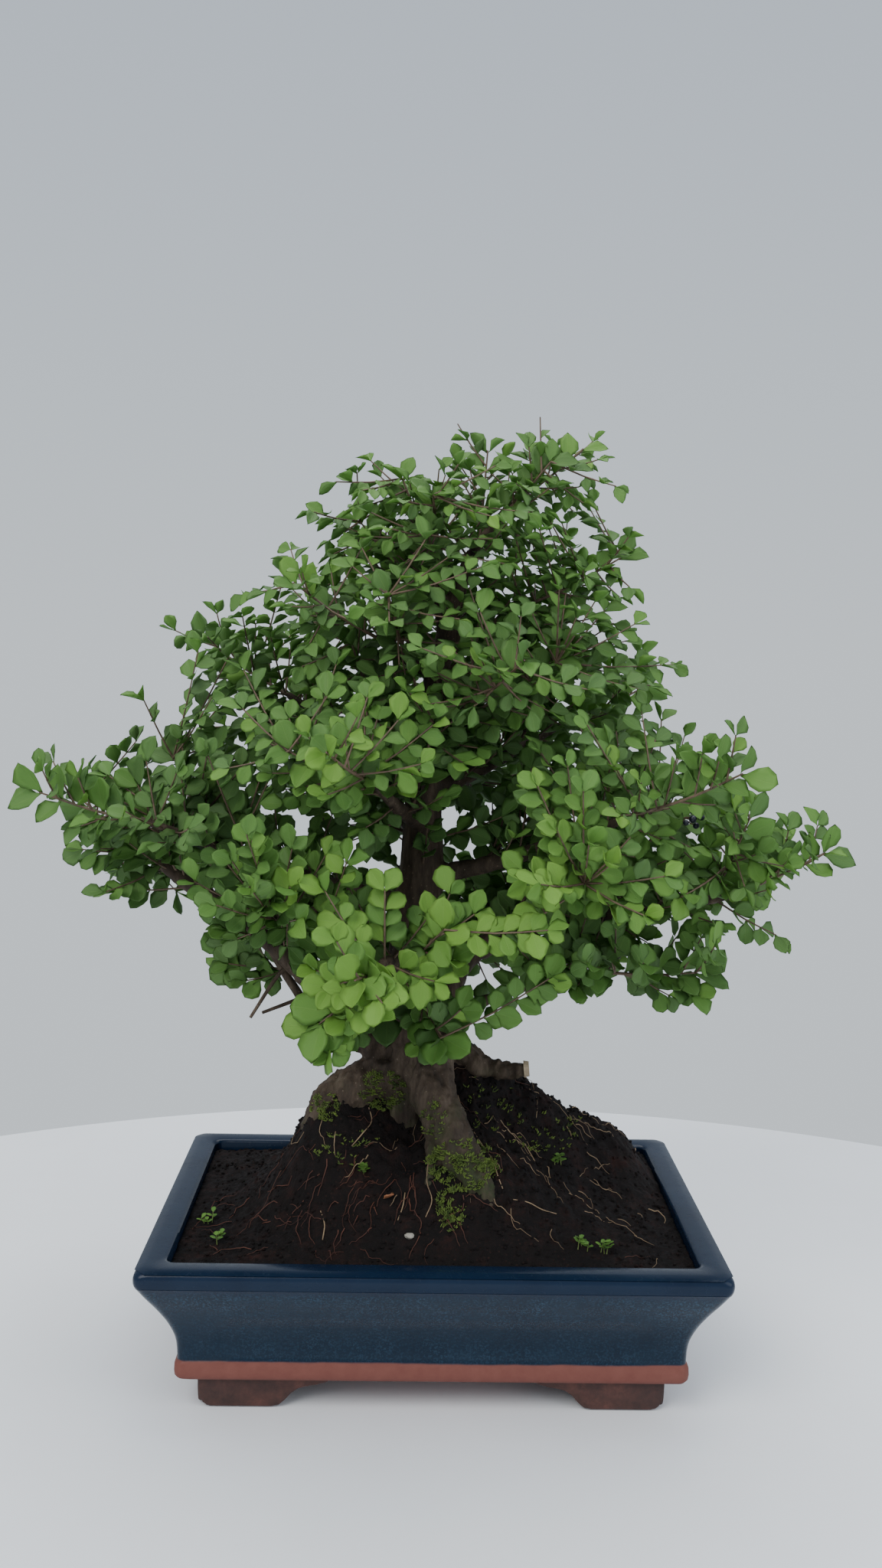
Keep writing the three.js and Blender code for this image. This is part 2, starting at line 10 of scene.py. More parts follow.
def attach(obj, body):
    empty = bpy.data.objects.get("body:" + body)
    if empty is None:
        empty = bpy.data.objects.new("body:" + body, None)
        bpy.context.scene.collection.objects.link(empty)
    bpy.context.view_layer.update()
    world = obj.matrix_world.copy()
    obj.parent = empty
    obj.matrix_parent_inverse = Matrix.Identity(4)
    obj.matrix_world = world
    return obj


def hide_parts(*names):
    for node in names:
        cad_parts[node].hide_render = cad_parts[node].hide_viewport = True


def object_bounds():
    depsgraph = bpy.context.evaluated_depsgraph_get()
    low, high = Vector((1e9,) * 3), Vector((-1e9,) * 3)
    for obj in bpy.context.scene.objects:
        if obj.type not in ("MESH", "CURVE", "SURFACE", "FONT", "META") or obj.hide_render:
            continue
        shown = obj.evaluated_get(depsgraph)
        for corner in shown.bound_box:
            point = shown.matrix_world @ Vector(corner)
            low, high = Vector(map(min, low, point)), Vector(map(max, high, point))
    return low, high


mm = 0.001
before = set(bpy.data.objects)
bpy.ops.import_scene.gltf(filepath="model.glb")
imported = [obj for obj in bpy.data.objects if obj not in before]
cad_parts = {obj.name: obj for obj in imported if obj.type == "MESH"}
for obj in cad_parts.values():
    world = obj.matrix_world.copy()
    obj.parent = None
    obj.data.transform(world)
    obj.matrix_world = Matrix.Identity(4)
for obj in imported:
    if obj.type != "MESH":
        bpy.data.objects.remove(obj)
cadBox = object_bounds()
scene = bpy.context.scene
print("frame loaded:", len(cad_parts), "nodes")


# Camera

camera = {"place": (-16.868627, -737.11405496, 385.83921113), "yaw": 1.27650286, "pitch": 5.25256357,
          "roll": 1.25413465, "focal": 1750, "width": 1152, "height": 2048, "sensor": 36, "nearest": 0.01}


def cameraAxes():
    yaw, pitch, roll = (math.radians(camera[key]) for key in ("yaw", "pitch", "roll"))
    ahead = Vector((math.sin(yaw) * math.cos(pitch), math.cos(yaw) * math.cos(pitch), -math.sin(pitch)))
    right = Vector((math.cos(yaw), -math.sin(yaw), 0))
    above = right.cross(ahead)
    right, above = (math.cos(roll) * right + math.sin(roll) * above,
                    math.cos(roll) * above - math.sin(roll) * right)
    return right, above, ahead


def makeCamera():
    right, above, ahead = cameraAxes()
    data = bpy.data.cameras.new("camera")
    data.sensor_width = camera["sensor"]
    data.lens = camera["focal"] / camera["height"] * camera["sensor"]
    data.clip_start = camera["nearest"]
    obj = bpy.data.objects.new("camera", data)
    scene.collection.objects.link(obj)
    turn = Matrix((right, above, -ahead)).transposed().to_4x4()
    obj.matrix_world = Matrix.Translation(Vector(camera["place"]) * mm) @ turn
    scene.camera = obj


makeCamera()


# Small helpers

def keep(obj):
    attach(obj, "root")
    return obj


def objectFrom(bm, name, *finishes):
    mesh = bpy.data.meshes.new(name)
    bm.to_mesh(mesh)
    bm.free()
    obj = bpy.data.objects.new(name, mesh)
    scene.collection.objects.link(obj)
    for finish in finishes:
        mesh.materials.append(finish)
    return obj


def smoothByAngle(obj, degrees):
    limit = math.radians(degrees)
    bm = bmesh.new()
    bm.from_mesh(obj.data)
    for face in bm.faces:
        face.smooth = True
    for edge in bm.edges:
        edge.smooth = not (edge.is_manifold and edge.calc_face_angle() > limit)
    bm.to_mesh(obj.data)
    bm.free()


def applyModifiers(obj):
    graph = bpy.context.evaluated_depsgraph_get()
    made = bpy.data.meshes.new_from_object(obj.evaluated_get(graph))
    obj.modifiers.clear()
    obj.data = made


def joinInto(obj, *others):
    bpy.ops.object.select_all(action="DESELECT")
    for other in (obj, *others):
        other.select_set(True)
    bpy.context.view_layer.objects.active = obj
    bpy.ops.object.join()
    return obj


def draw(a, b, c):  # the same fixed draw that places the solid sprays
    def times(x, y):
        return (x * y) & 0xFFFFFFFF
    h = times(a + 1, 374761393) ^ times(b + 1, 668265263) ^ times(c + 1, 1274126177)
    h = times(h ^ (h >> 15), 739982445)
    h = times(h ^ (h >> 12), 695872825)
    return (h ^ (h >> 15)) / 4294967296


def clamp(x, low=0.0, high=1.0):
    return max(low, min(high, x))


def smoothStep(x, low, high):
    t = clamp((x - low) / (high - low))
    return t * t * (3 - 2 * t)


# A smooth line through rows of x, y, z and radius, in millimetres

def pointOn(rows, t):
    last = len(rows) - 1
    i = min(int(t * last), last - 1)
    w = t * last - i
    b, c = Vector(rows[i]), Vector(rows[i + 1])
    a = Vector(rows[i - 1]) if i else b * 2 - c
    d = Vector(rows[i + 2]) if i + 2 <= last else c * 2 - b
    leave, arrive = (c - a) * 0.5, (d - b) * 0.5
    square, cube = (c - b) * 3 - leave * 2 - arrive, (b - c) * 2 + leave + arrive
    return b + leave * w + square * w * w + cube * w ** 3


def headingOn(rows, t):
    return (pointOn(rows, min(t + 0.01, 1)).xyz - pointOn(rows, max(t - 0.01, 0)).xyz).normalized()


def lengthOf(rows):
    points = [pointOn(rows, n / 200).xyz for n in range(201)]
    return sum((q - p).length for p, q in zip(points, points[1:]))


def tubes(name, lines, roundness=2, finish=None):  # each line is a list of x, y, z, radius in millimetres
    curve = bpy.data.curves.new(name, "CURVE")
    curve.dimensions = "3D"
    curve.bevel_depth = mm
    curve.bevel_resolution = roundness
    curve.use_fill_caps = True
    for line in lines:
        spline = curve.splines.new("POLY")
        spline.points.add(len(line) - 1)
        for point, (x, y, z, radius) in zip(spline.points, line):
            point.co = (x * mm, y * mm, z * mm, 1)
            point.radius = radius
    shape = bpy.data.objects.new(name, curve)
    scene.collection.objects.link(shape)
    graph = bpy.context.evaluated_depsgraph_get()
    mesh = bpy.data.meshes.new_from_object(shape.evaluated_get(graph))
    bpy.data.objects.remove(shape)
    obj = bpy.data.objects.new(name, mesh)
    scene.collection.objects.link(obj)
    mesh.materials.clear()
    if finish:
        mesh.materials.append(finish)
    for face in mesh.polygons:
        face.use_smooth = True
    return obj


# Node helpers for the finishes

class Finish:
    def __init__(self, name):
        self.material = bpy.data.materials.new(name)
        self.material.use_nodes = True
        self.tree = self.material.node_tree
        self.shader = self.tree.nodes["Principled BSDF"]
        self.output = self.tree.nodes["Material Output"]

    def node(self, kind, **settings):
        made = self.tree.nodes.new("ShaderNode" + kind)
        for key, value in settings.items():
            setattr(made, key, value)
        return made

    def link(self, source, target):
        self.tree.links.new(source, target)

    def put(self, socket, value):
        if isinstance(value, bpy.types.NodeSocket):
            self.link(value, socket)
        else:
            socket.default_value = value

    def place(self, scale=(1, 1, 1)):  # Object coordinates, stretched by scale
        mapping = self.node("Mapping")
        mapping.inputs["Scale"].default_value = scale
        self.link(self.node("TexCoord").outputs["Object"], mapping.inputs["Vector"])
        return mapping.outputs["Vector"]

    def noise(self, where, scale, detail=3.0, roughness=0.55):
        made = self.node("TexNoise")
        self.put(made.inputs["Vector"], where)
        made.inputs["Scale"].default_value = scale
        made.inputs["Detail"].default_value = detail
        made.inputs["Roughness"].default_value = roughness
        return made.outputs["Fac"]

    def cells(self, where, scale, output="Distance", feature="F1"):
        made = self.node("TexVoronoi", feature=feature)
        self.put(made.inputs["Vector"], where)
        made.inputs["Scale"].default_value = scale
        return made.outputs[output]

    def ramp(self, value, *stops):  # stops are (place, colour) or (place, brightness)
        made = self.node("ValToRGB")
        while len(made.color_ramp.elements) < len(stops):
            made.color_ramp.elements.new(0.5)
        for element, (spot, colour) in zip(made.color_ramp.elements, stops):
            element.position = spot
            element.color = (*colour, 1) if isinstance(colour, tuple) else (colour, colour, colour, 1)
        self.put(made.inputs["Fac"], value)
        return made.outputs["Color"]

    def mix(self, share, a, b, blend="MIX"):
        made = self.node("Mix", data_type="RGBA", blend_type=blend)
        self.put(made.inputs[0], share)
        for socket, value in ((made.inputs[6], a), (made.inputs[7], b)):
            self.put(socket, (*value, 1) if isinstance(value, tuple) else value)
        return made.outputs[2]

    def sum(self, operation, a, b=0.0, c=0.0):
        made = self.node("Math", operation=operation)
        for socket, value in zip(made.inputs, (a, b, c)):
            self.put(socket, value)
        return made.outputs[0]

    def height(self):  # height above the table, in millimetres
        split = self.node("SeparateXYZ")
        self.link(self.node("TexCoord").outputs["Object"], split.inputs[0])
        return self.sum("MULTIPLY", split.outputs["Z"], 1000.0)

    def bump(self, value, distance, strength=1.0, under=None):
        made = self.node("Bump")
        made.inputs["Strength"].default_value = strength
        made.inputs["Distance"].default_value = distance * mm
        self.put(made.inputs["Height"], value)
        if under:
            self.link(under, made.inputs["Normal"])
        return made.outputs["Normal"]

    def done(self, colour, roughness=0.5, normal=None, **constants):
        self.put(self.shader.inputs["Base Color"], (*colour, 1) if isinstance(colour, tuple) else colour)
        self.put(self.shader.inputs["Roughness"], roughness)
        if normal:
            self.link(normal, self.shader.inputs["Normal"])
        for key, value in constants.items():
            self.shader.inputs[key.replace("_", " ")].default_value = value
        return self.material


# Finishes

def glazeFinish():
    f = Finish("blueGlaze")
    where = f.place()
    z = f.height()
    cloudy = f.noise(where, 34, 4)
    deep = f.mix(cloudy, (0.003, 0.009, 0.02), (0.007, 0.019, 0.036))
    speckSize = f.noise(where, 900, 2, 0.7)
    speck = f.ramp(speckSize, (0.5, 0.0), (0.62, 1.0))
    upper = f.ramp(f.sum("DIVIDE", z, 100.0), (0.45, 0.35), (0.7, 0.9))
    patches = f.ramp(f.noise(where, 60, 3), (0.35, 0.3), (0.7, 0.9))
    speckShare = f.sum("MULTIPLY", speck, f.sum("MULTIPLY", upper, patches))
    speckled = f.mix(speckShare, deep, (0.03, 0.072, 0.12))
    lipEdge = f.sum("ADD", f.sum("DIVIDE", z, 100.0), f.sum("MULTIPLY", cloudy, 0.02))
    lip = f.mix(cloudy, (0.003, 0.008, 0.022), (0.007, 0.02, 0.045))
    glazed = f.mix(f.ramp(lipEdge, (0.7, 0.0), (0.74, 1.0)), speckled, lip)
    clayNoise = f.noise(where, 160, 5, 0.65)
    clay = f.mix(clayNoise, (0.13, 0.042, 0.033), (0.2, 0.075, 0.058))
    edge = f.sum("ADD", z, f.sum("MULTIPLY", f.noise(where, 28, 3), 2.4))
    bare = f.ramp(f.sum("DIVIDE", edge, 100.0), (0.281, 1.0), (0.287, 0.0))
    colour = f.mix(bare, glazed, clay)
    grain = f.bump(f.noise(where, 700, 3, 0.6), 0.06, 0.5)
    normal = f.bump(f.noise(where, 45, 3), 0.35, 0.5, grain)
    gloss = f.ramp(f.noise(where, 300, 3), (0.3, 0.16), (0.7, 0.3))
    roughness = f.mix(bare, gloss, (0.72, 0.72, 0.72))
    return f.done(colour, roughness, normal, Coat_Weight=0.04, Coat_Roughness=0.14, Specular_IOR_Level=0.17)


def clayFootFinish():
    f = Finish("brownClay")
    where = f.place()
    stain = f.noise(where, 60, 5, 0.7)
    colour = f.ramp(stain, (0.3, (0.02, 0.009, 0.007)), (0.52, (0.058, 0.021, 0.015)),
                    (0.78, (0.13, 0.045, 0.032)))
    normal = f.bump(f.noise(where, 420, 5, 0.7), 0.25, 0.7)
    return f.done(colour, 0.68, normal)


def meshFinish():
    f = Finish("darkPlastic")
    where = f.place()
    colour = f.mix(f.noise(where, 220, 3), (0.012, 0.013, 0.012), (0.035, 0.036, 0.032))
    return f.done(colour, 0.55, f.bump(f.noise(where, 900, 2), 0.05, 0.4))


def soilFinish():
    f = Finish("darkSoil")
    where = f.place()
    clump = f.noise(where, 70, 6, 0.7)
    grainCells = f.cells(where, 420)
    base = f.ramp(clump, (0.3, (0.0016, 0.001, 0.001)), (0.52, (0.0065, 0.0032, 0.0028)),
                  (0.78, (0.03, 0.009, 0.006)))
    crumbs = f.ramp(grainCells, (0.05, (0.035, 0.014, 0.01)), (0.3, (0.003, 0.0018, 0.0016)))
    colour = f.mix(f.ramp(f.noise(where, 180, 4), (0.4, 0.0), (0.68, 0.85)), base, crumbs)
    coarse = f.bump(f.noise(where, 240, 6, 0.75), 1.6, 0.9)
    normal = f.bump(grainCells, 0.6, 0.5, coarse)
    return f.done(colour, 0.86, normal, Specular_IOR_Level=0.25)


def barkFinish(name, dark, middle, pale):
    f = Finish(name)
    where = f.place()
    stretched = f.place((1, 1, 0.28))
    plates = f.noise(stretched, 120, 6, 0.7)
    tone = f.ramp(plates, (0.28, dark), (0.5, middle), (0.74, pale))
    freckle = f.ramp(f.cells(where, 260), (0.06, 1.0), (0.13, 0.0))
    freckled = f.mix(f.sum("MULTIPLY", freckle, 0.35), tone, (0.34, 0.27, 0.2))
    level = f.sum("ADD", f.height(), f.sum("MULTIPLY", f.noise(where, 30, 4), 60.0))
    damp = f.ramp(f.sum("DIVIDE", level, 300.0), (0.48, 1.0), (0.62, 0.0))
    wet = f.mix(0.55, freckled, (0.02, 0.014, 0.01))
    green = f.mix(f.ramp(f.noise(where, 55, 5, 0.7), (0.46, 0.0), (0.6, 0.8)), wet, (0.026, 0.042, 0.012))
    colour = f.mix(damp, freckled, green)
    coarse = f.bump(plates, 1.5, 0.9)
    normal = f.bump(f.noise(where, 520, 4, 0.7), 0.28, 0.7, coarse)
    return f.done(colour, 0.8, normal, Specular_IOR_Level=0.3)


def leafFinish():
    f = Finish("privetLeaf")
    uv = f.node("UVMap", uv_map="blade")
    split = f.node("SeparateXYZ")
    f.link(uv.outputs["UV"], split.inputs[0])
    along, across = split.outputs["X"], split.outputs["Y"]
    fromRib = f.sum("ABSOLUTE", f.sum("SUBTRACT", across, 0.5))
    tint = f.node("VertexColor", layer_name="tint")
    parts = f.node("SeparateColor")
    f.link(tint.outputs["Color"], parts.inputs[0])
    ageAndPaintedShade, shade, under = parts.outputs["Red"], parts.outputs["Green"], parts.outputs["Blue"]
    # the red channel holds the leaf's age with painted shade added, so old and shaded leaves come out dark
    blade = f.ramp(ageAndPaintedShade, (0.0, (0.2, 0.44, 0.006)), (0.28, (0.085, 0.27, 0.005)), (0.58, (0.026, 0.13, 0.007)),
                   (1.0, (0.007, 0.045, 0.016)))
    lifted = f.mix(f.sum("MULTIPLY", shade, 0.22), blade, f.mix(0.4, blade, (0.26, 0.5, 0.03)))
    rib = f.ramp(fromRib, (0.006, 1.0), (0.028, 0.0))
    veinWave = f.sum("ADD", f.sum("MULTIPLY", along, 9.0), f.sum("MULTIPLY", fromRib, -7.0))
    veinFold = f.sum("ABSOLUTE", f.sum("SUBTRACT", f.sum("FRACT", veinWave), 0.5))
    vein = f.sum("MULTIPLY", f.ramp(veinFold, (0.02, 1.0), (0.09, 0.0)), 0.35)
    lines = f.sum("MAXIMUM", rib, vein)
    veined = f.mix(f.sum("MULTIPLY", lines, 0.4), lifted, f.mix(0.5, lifted, (0.36, 0.56, 0.12)))
    mottle = f.sum("MULTIPLY", f.noise(f.place(), 420, 3), 0.3)
    mottled = f.mix(mottle, veined, f.mix(0.5, veined, (0.0, 0.02, 0.0)))
    pale = f.mix(0.45, mottled, (0.2, 0.33, 0.12))
    colour = f.mix(under, mottled, pale)
    normal = f.bump(f.sum("SUBTRACT", 1.0, lines), 0.16, 0.6)
    roughness = f.mix(under, (0.38, 0.38, 0.38), (0.6, 0.6, 0.6))
    f.done(colour, roughness, normal, Specular_IOR_Level=0.32)
    glow = f.node("BsdfTranslucent")
    f.link(f.mix(0.35, colour, (0.32, 0.6, 0.02)), glow.inputs["Color"])
    both = f.node("MixShader")
    both.inputs[0].default_value = 0.3
    f.link(f.shader.outputs[0], both.inputs[1])
    f.link(glow.outputs[0], both.inputs[2])
    f.link(both.outputs[0], f.output.inputs["Surface"])
    return f.material


def plainFinish(name, first, second, scale, roughness=0.6, bumpDistance=0.1):
    f = Finish(name)
    where = f.place()
    colour = f.mix(f.ramp(f.noise(where, scale, 4, 0.6), (0.3, 0.0), (0.7, 1.0)), first, second)
    return f.done(colour, roughness, f.bump(f.noise(where, scale * 2, 3), bumpDistance, 0.5))


blueGlaze = glazeFinish()
brownClay = clayFootFinish()
darkPlastic = meshFinish()
darkSoil = soilFinish()
trunkBark = barkFinish("trunkBark", (0.016, 0.011, 0.008), (0.06, 0.041, 0.028), (0.14, 0.103, 0.072))
twigBark = plainFinish("twigBark", (0.07, 0.045, 0.028), (0.16, 0.105, 0.065), 300, 0.7)
privetLeaf = leafFinish()
print("finishes ready")


# Pot

pot = {
    "length": 300, "depth": 200, "footHeight": 17,
    "band": [(17, 20), (17.6, 18.6), (19, 17.8), (22, 17.5), (25.5, 17.7), (26.8, 18.3), (27.4, 19)],
    "side": [(27.5, 19), (38, 18.2), (48, 14.8), (57, 10.2), (65, 5.4), (71, 2), (73.5, 0.6), (76.5, 0),
             (79.5, 0.2), (81.6, 1.6), (82.5, 4)],
    "sideSteps": 34,
    "rim": [(82.5, 9), (82.4, 12.4), (81.8, 14.2), (80.5, 15)],
    "inside": [(74, 15), (66, 15.4), (57, 18.6), (48, 22.8), (38, 26.2), (31, 27), (28.6, 28.4), (28, 31)],
    "cornerBevel": 7, "cornerSteps": 5, "cornerNear": 12, "cornerFrom": 100,
    "longCuts": 96, "shortCuts": 64, "cutEdge": 90, "cutAbove": 18,
    "panelHalf": 111, "panelLow": 30, "panelHigh": 51, "panelCorner": 9, "panelDepth": 0.9, "panelEdge": 1.6,
    "panelZone": (128, 27.4, 60), "wallDepth": 20,
    "drainRadius": 9, "drainOffset": 62,
    "footSole": (38, 26), "footThickness": 17, "footInset": 11, "bandInset": 18,
    "footHeel": [(0.6, 9), (1.2, 5), (2.6, 2), (4.6, 0.5), (7, 0)],
    "footToe": [(0, 0), (4, 0.8), (7, 3.4), (10, 7), (14, 9.8), (18, 10.9), (23, 11.7), (28, 13.2),
                (32, 15.2)],
}


def extrudeUp(bm, face, z, inset):
    made = bmesh.ops.extrude_face_region(bm, geom=[face])["geom"]
    for vert in (e for e in made if isinstance(e, bmesh.types.BMVert)):
        vert.co.x = math.copysign((pot["length"] / 2 - inset) * mm, vert.co.x)
        vert.co.y = math.copysign((pot["depth"] / 2 - inset) * mm, vert.co.y)
        vert.co.z = z * mm
    if face.is_valid and face.calc_center_median().z > pot["footHeight"] * mm + 1e-5:
        bmesh.ops.delete(bm, geom=[face], context="FACES_ONLY")
    return next(e for e in made if isinstance(e, bmesh.types.BMFace))


def panelShare(x, z):  # 1 inside the shallow panel and 0 outside it
    centre = (pot["panelLow"] + pot["panelHigh"]) / 2
    halfHigh = (pot["panelHigh"] - pot["panelLow"]) / 2
    corner = pot["panelCorner"]
    dx = max(abs(x) - (pot["panelHalf"] - corner), 0)
    dz = max(abs(z - centre) - (halfHigh - corner), 0)
    return 1 - smoothStep(math.hypot(dx, dz), corner - pot["panelEdge"], corner)


def isCornerEdge(a, b):  # whether an edge climbs one of the pot's four corners
    near = max(abs(a.x - b.x), abs(a.y - b.y)) < pot["cornerNear"] * mm
    return near and abs(a.x) > pot["cornerFrom"] * mm and a.x * b.x > 0 and a.y * b.y > 0


def makePot():
    side = [tuple(pointOn([(z, inset, 0, 0) for z, inset in pot["side"]], n / pot["sideSteps"]).xy)
            for n in range(1, pot["sideSteps"] + 1)]
    rows = pot["band"][1:] + pot["side"][:1] + side + pot["rim"] + pot["inside"]
    bm = bmesh.new()
    bmesh.ops.create_grid(bm, x_segments=1, y_segments=1, size=1)
    bm.faces.ensure_lookup_table()
    z, inset = pot["band"][0]
    for vert in bm.verts:
        halfLength, halfDepth = pot["length"] / 2 - inset, pot["depth"] / 2 - inset
        vert.co = (halfLength * mm * vert.co.x, halfDepth * mm * vert.co.y, z * mm)
    top = bm.faces[0]
    for z, inset in rows:
        top = extrudeUp(bm, top, z, inset)
    bmesh.ops.recalc_face_normals(bm, faces=bm.faces)
    corners = [e for e in bm.edges if isCornerEdge(*(vert.co for vert in e.verts))]
    bmesh.ops.bevel(bm, geom=corners, offset=pot["cornerBevel"] * 0.62 * mm, segments=pot["cornerSteps"],
                    affect="EDGES", profile=0.5, material=-1, clamp_overlap=True)
    for axis, cuts in ((0, pot["longCuts"]), (1, pot["shortCuts"])):
        long = [e for e in bm.edges if abs(e.verts[0].co[axis] - e.verts[1].co[axis]) > pot["cutEdge"] * mm
                and all(v.co.z > pot["cutAbove"] * mm for v in e.verts)]
        bmesh.ops.subdivide_edges(bm, edges=long, cuts=cuts)
    zoneX, zoneLow, zoneHigh = pot["panelZone"]
    for vert in bm.verts:
        x, y, z = vert.co / mm
        outside = abs(y) > pot["depth"] / 2 - pot["wallDepth"]
        if outside and zoneLow < z < zoneHigh and abs(x) < zoneX:
            vert.co.y -= math.copysign(panelShare(x, z) * pot["panelDepth"] * mm, y)
    obj = objectFrom(bm, "glazed_pot", blueGlaze)
    cutter = bmesh.new()
    for sign in (-1, 1):
        made = bmesh.ops.create_cone(cutter, cap_ends=True, segments=32, radius1=pot["drainRadius"] * mm,
                                     radius2=pot["drainRadius"] * mm, depth=40 * mm)
        bmesh.ops.translate(cutter, verts=made["verts"], vec=(sign * pot["drainOffset"] * mm, 0, 22 * mm))
    holes = objectFrom(cutter, "holes")
    cut = obj.modifiers.new("drainHoles", "BOOLEAN")
    cut.operation = "DIFFERENCE"
    cut.solver = "EXACT"
    cut.object = holes
    applyModifiers(obj)
    bpy.data.objects.remove(holes)
    smoothByAngle(obj, 38)
    return obj


def footArm(bm, sole):  # the side view of one arm, drawn as a face and pulled out to its thickness
    rise = pot["footHeight"] + 0.6
    curve = [(0, rise)] + pot["footHeel"] + [(sole + x, z) for x, z in pot["footToe"]] + [(sole + 36, rise)]
    face = bm.faces.new([bm.verts.new((x * mm, 0, z * mm)) for x, z in curve])
    made = bmesh.ops.extrude_face_region(bm, geom=[face])["geom"]
    verts = [e for e in made if isinstance(e, bmesh.types.BMVert)]
    bmesh.ops.translate(bm, verts=verts, vec=(0, pot["footThickness"] * mm, 0))
    return list(face.verts) + verts


def makeFeet():
    bm = bmesh.new()
    outX = pot["length"] / 2 - pot["bandInset"] - pot["footInset"]
    outY = pot["depth"] / 2 - pot["bandInset"] - pot["footInset"] * 0.6
    for signX in (-1, 1):
        for signY in (-1, 1):
            longArm = footArm(bm, pot["footSole"][0])
            bmesh.ops.translate(bm, verts=longArm, vec=(-outX * mm, -outY * mm, 0))
            shortArm = footArm(bm, pot["footSole"][1])
            bmesh.ops.rotate(bm, verts=shortArm, matrix=Matrix.Rotation(math.pi / 2, 3, "Z"))
            bmesh.ops.translate(bm, verts=shortArm, vec=(-(outX - pot["footThickness"]) * mm, -outY * mm, 0))
            bmesh.ops.scale(bm, verts=longArm + shortArm, vec=(-signX, -signY, 1))
    bmesh.ops.recalc_face_normals(bm, faces=bm.faces)
    sharp = [e for e in bm.edges if e.calc_face_angle(0) > math.radians(50)]
    bmesh.ops.bevel(bm, geom=sharp, offset=0.9 * mm, segments=2, affect="EDGES", profile=0.5, material=-1,
                    clamp_overlap=True)
    obj = objectFrom(bm, "clay_feet", brownClay)
    smoothByAngle(obj, 40)
    return obj


glazedPot = keep(makePot())
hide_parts("pot")
clayFeet = keep(makeFeet())
for screenName in ("drain_screen_left", "drain_screen_right"):
    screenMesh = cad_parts[screenName].data
    screenMesh.materials.clear()
    screenMesh.materials.append(darkPlastic)
print("pot made")


# Soil

soil = {
    "level": 77, "halfX": 134.8, "halfY": 84.8, "stepsX": 214, "stepsY": 134,
    "edgeStart": -6, "edgeFall": 20, "blend": 3, "fall": 0.62,
    "heaps": [(8, 22, 90, 34, 32), (-50, 3, 64, 30, 34), (-60, -5, 48, 20, 22), (-30, 8, 66, 16, 18),
              (48, 32, 62, 36, 32), (92, 46, 36, 34, 28), (10, -18, 45, 52, 36), (0, 50, 50, 54, 30)],
    "crumbs": 2800, "handfuls": 14, "crumbSize": (0.5, 1.5), "roughness": 4.2, "sink": 1.2, "seed": 11,
    "reachX": 132, "reachY": 82,
}


def soilHeight(x, y):
    total = 0
    for cx, cy, high, wide, deep in soil["heaps"]:
        away = ((x - cx) / wide) ** 2 + ((y - cy) / deep) ** 2
        total += (high * math.exp(-away * soil["fall"])) ** soil["blend"]
    toEdge = min(pot["length"] / 2 - 15 - abs(x), pot["depth"] / 2 - 15 - abs(y))
    fade = smoothStep(toEdge, soil["edgeStart"], soil["edgeFall"])
    return soil["level"] + total ** (1 / soil["blend"]) * fade


def roughSoil(x, y):
    lift = soilHeight(x, y)
    steep = clamp((lift - soil["level"]) / 40)
    at = Vector((x, y, 0))
    rough = noise.fractal(at / 9, 0.7, 2.2, 4) * (0.5 + steep) * soil["roughness"] * 0.5
    grains = abs(noise.noise(at / 2.1)) * 1.9
    lumps = abs(noise.noise(at / 4.7)) * 1.6 * (0.4 + steep)
    return lift + rough + grains + lumps - soil["sink"]


def makeSoil():
    bm = bmesh.new()
    bmesh.ops.create_grid(bm, x_segments=soil["stepsX"], y_segments=soil["stepsY"], size=1)
    for vert in bm.verts:
        x, y = vert.co.x * soil["halfX"], vert.co.y * soil["halfY"]
        vert.co = (x * mm, y * mm, roughSoil(x, y) * mm)
    rim = [e for e in bm.edges if e.is_boundary]
    made = bmesh.ops.extrude_edge_only(bm, edges=rim)["geom"]
    for vert in (e for e in made if isinstance(e, bmesh.types.BMVert)):
        vert.co.z = (soil["level"] - 6) * mm
    bmesh.ops.holes_fill(bm, edges=[e for e in bm.edges if e.is_boundary], sides=0)
    bmesh.ops.recalc_face_normals(bm, faces=bm.faces)
    obj = objectFrom(bm, "heaped_soil", darkSoil)
    for face in obj.data.polygons:
        face.use_smooth = True
    return obj


def crumbsOf(rng, count):
    reachX, reachY = soil["reachX"], soil["reachY"]
    bm = bmesh.new()
    seed = bmesh.ops.create_icosphere(bm, subdivisions=1, radius=1 * mm)["verts"]
    geom = list(bm.verts) + list(bm.edges) + list(bm.faces)
    for n in range(count):
        x, y = rng.uniform(-reachX, reachX), rng.uniform(-reachY, reachY)
        if n % 3 == 0:
            x, y = rng.gauss(12, 46), rng.gauss(8, 34)
            if abs(x) > reachX or abs(y) > reachY:
                continue
        size = rng.uniform(*soil["crumbSize"])
        made = bmesh.ops.duplicate(bm, geom=geom)["geom"]
        verts = [e for e in made if isinstance(e, bmesh.types.BMVert)]
        tumble = rng.uniform(0, 6.28)
        turn = Matrix.Rotation(tumble, 4, Vector((rng.uniform(-1, 1), rng.uniform(-1, 1), 0.4)))
        stretch = Matrix.Diagonal((size, size * rng.uniform(0.6, 1), size * rng.uniform(0.5, 0.9), 1))
        spot = Matrix.Translation(Vector((x, y, roughSoil(x, y) + size * 0.2)) * mm)
        bmesh.ops.transform(bm, matrix=spot @ turn @ stretch, verts=verts)
    bmesh.ops.delete(bm, geom=seed, context="VERTS")
    return objectFrom(bm, "soil_crumbs", darkSoil)


def makeCrumbs():  # in handfuls, which is quicker than all in one
    rng = random.Random(soil["seed"])
    handfuls = [crumbsOf(rng, soil["crumbs"] // soil["handfuls"]) for _ in range(soil["handfuls"])]
    return joinInto(*handfuls)


heapedSoil = keep(makeSoil())
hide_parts("soil")
soilCrumbs = keep(makeCrumbs())
print("soil made")


# Wood

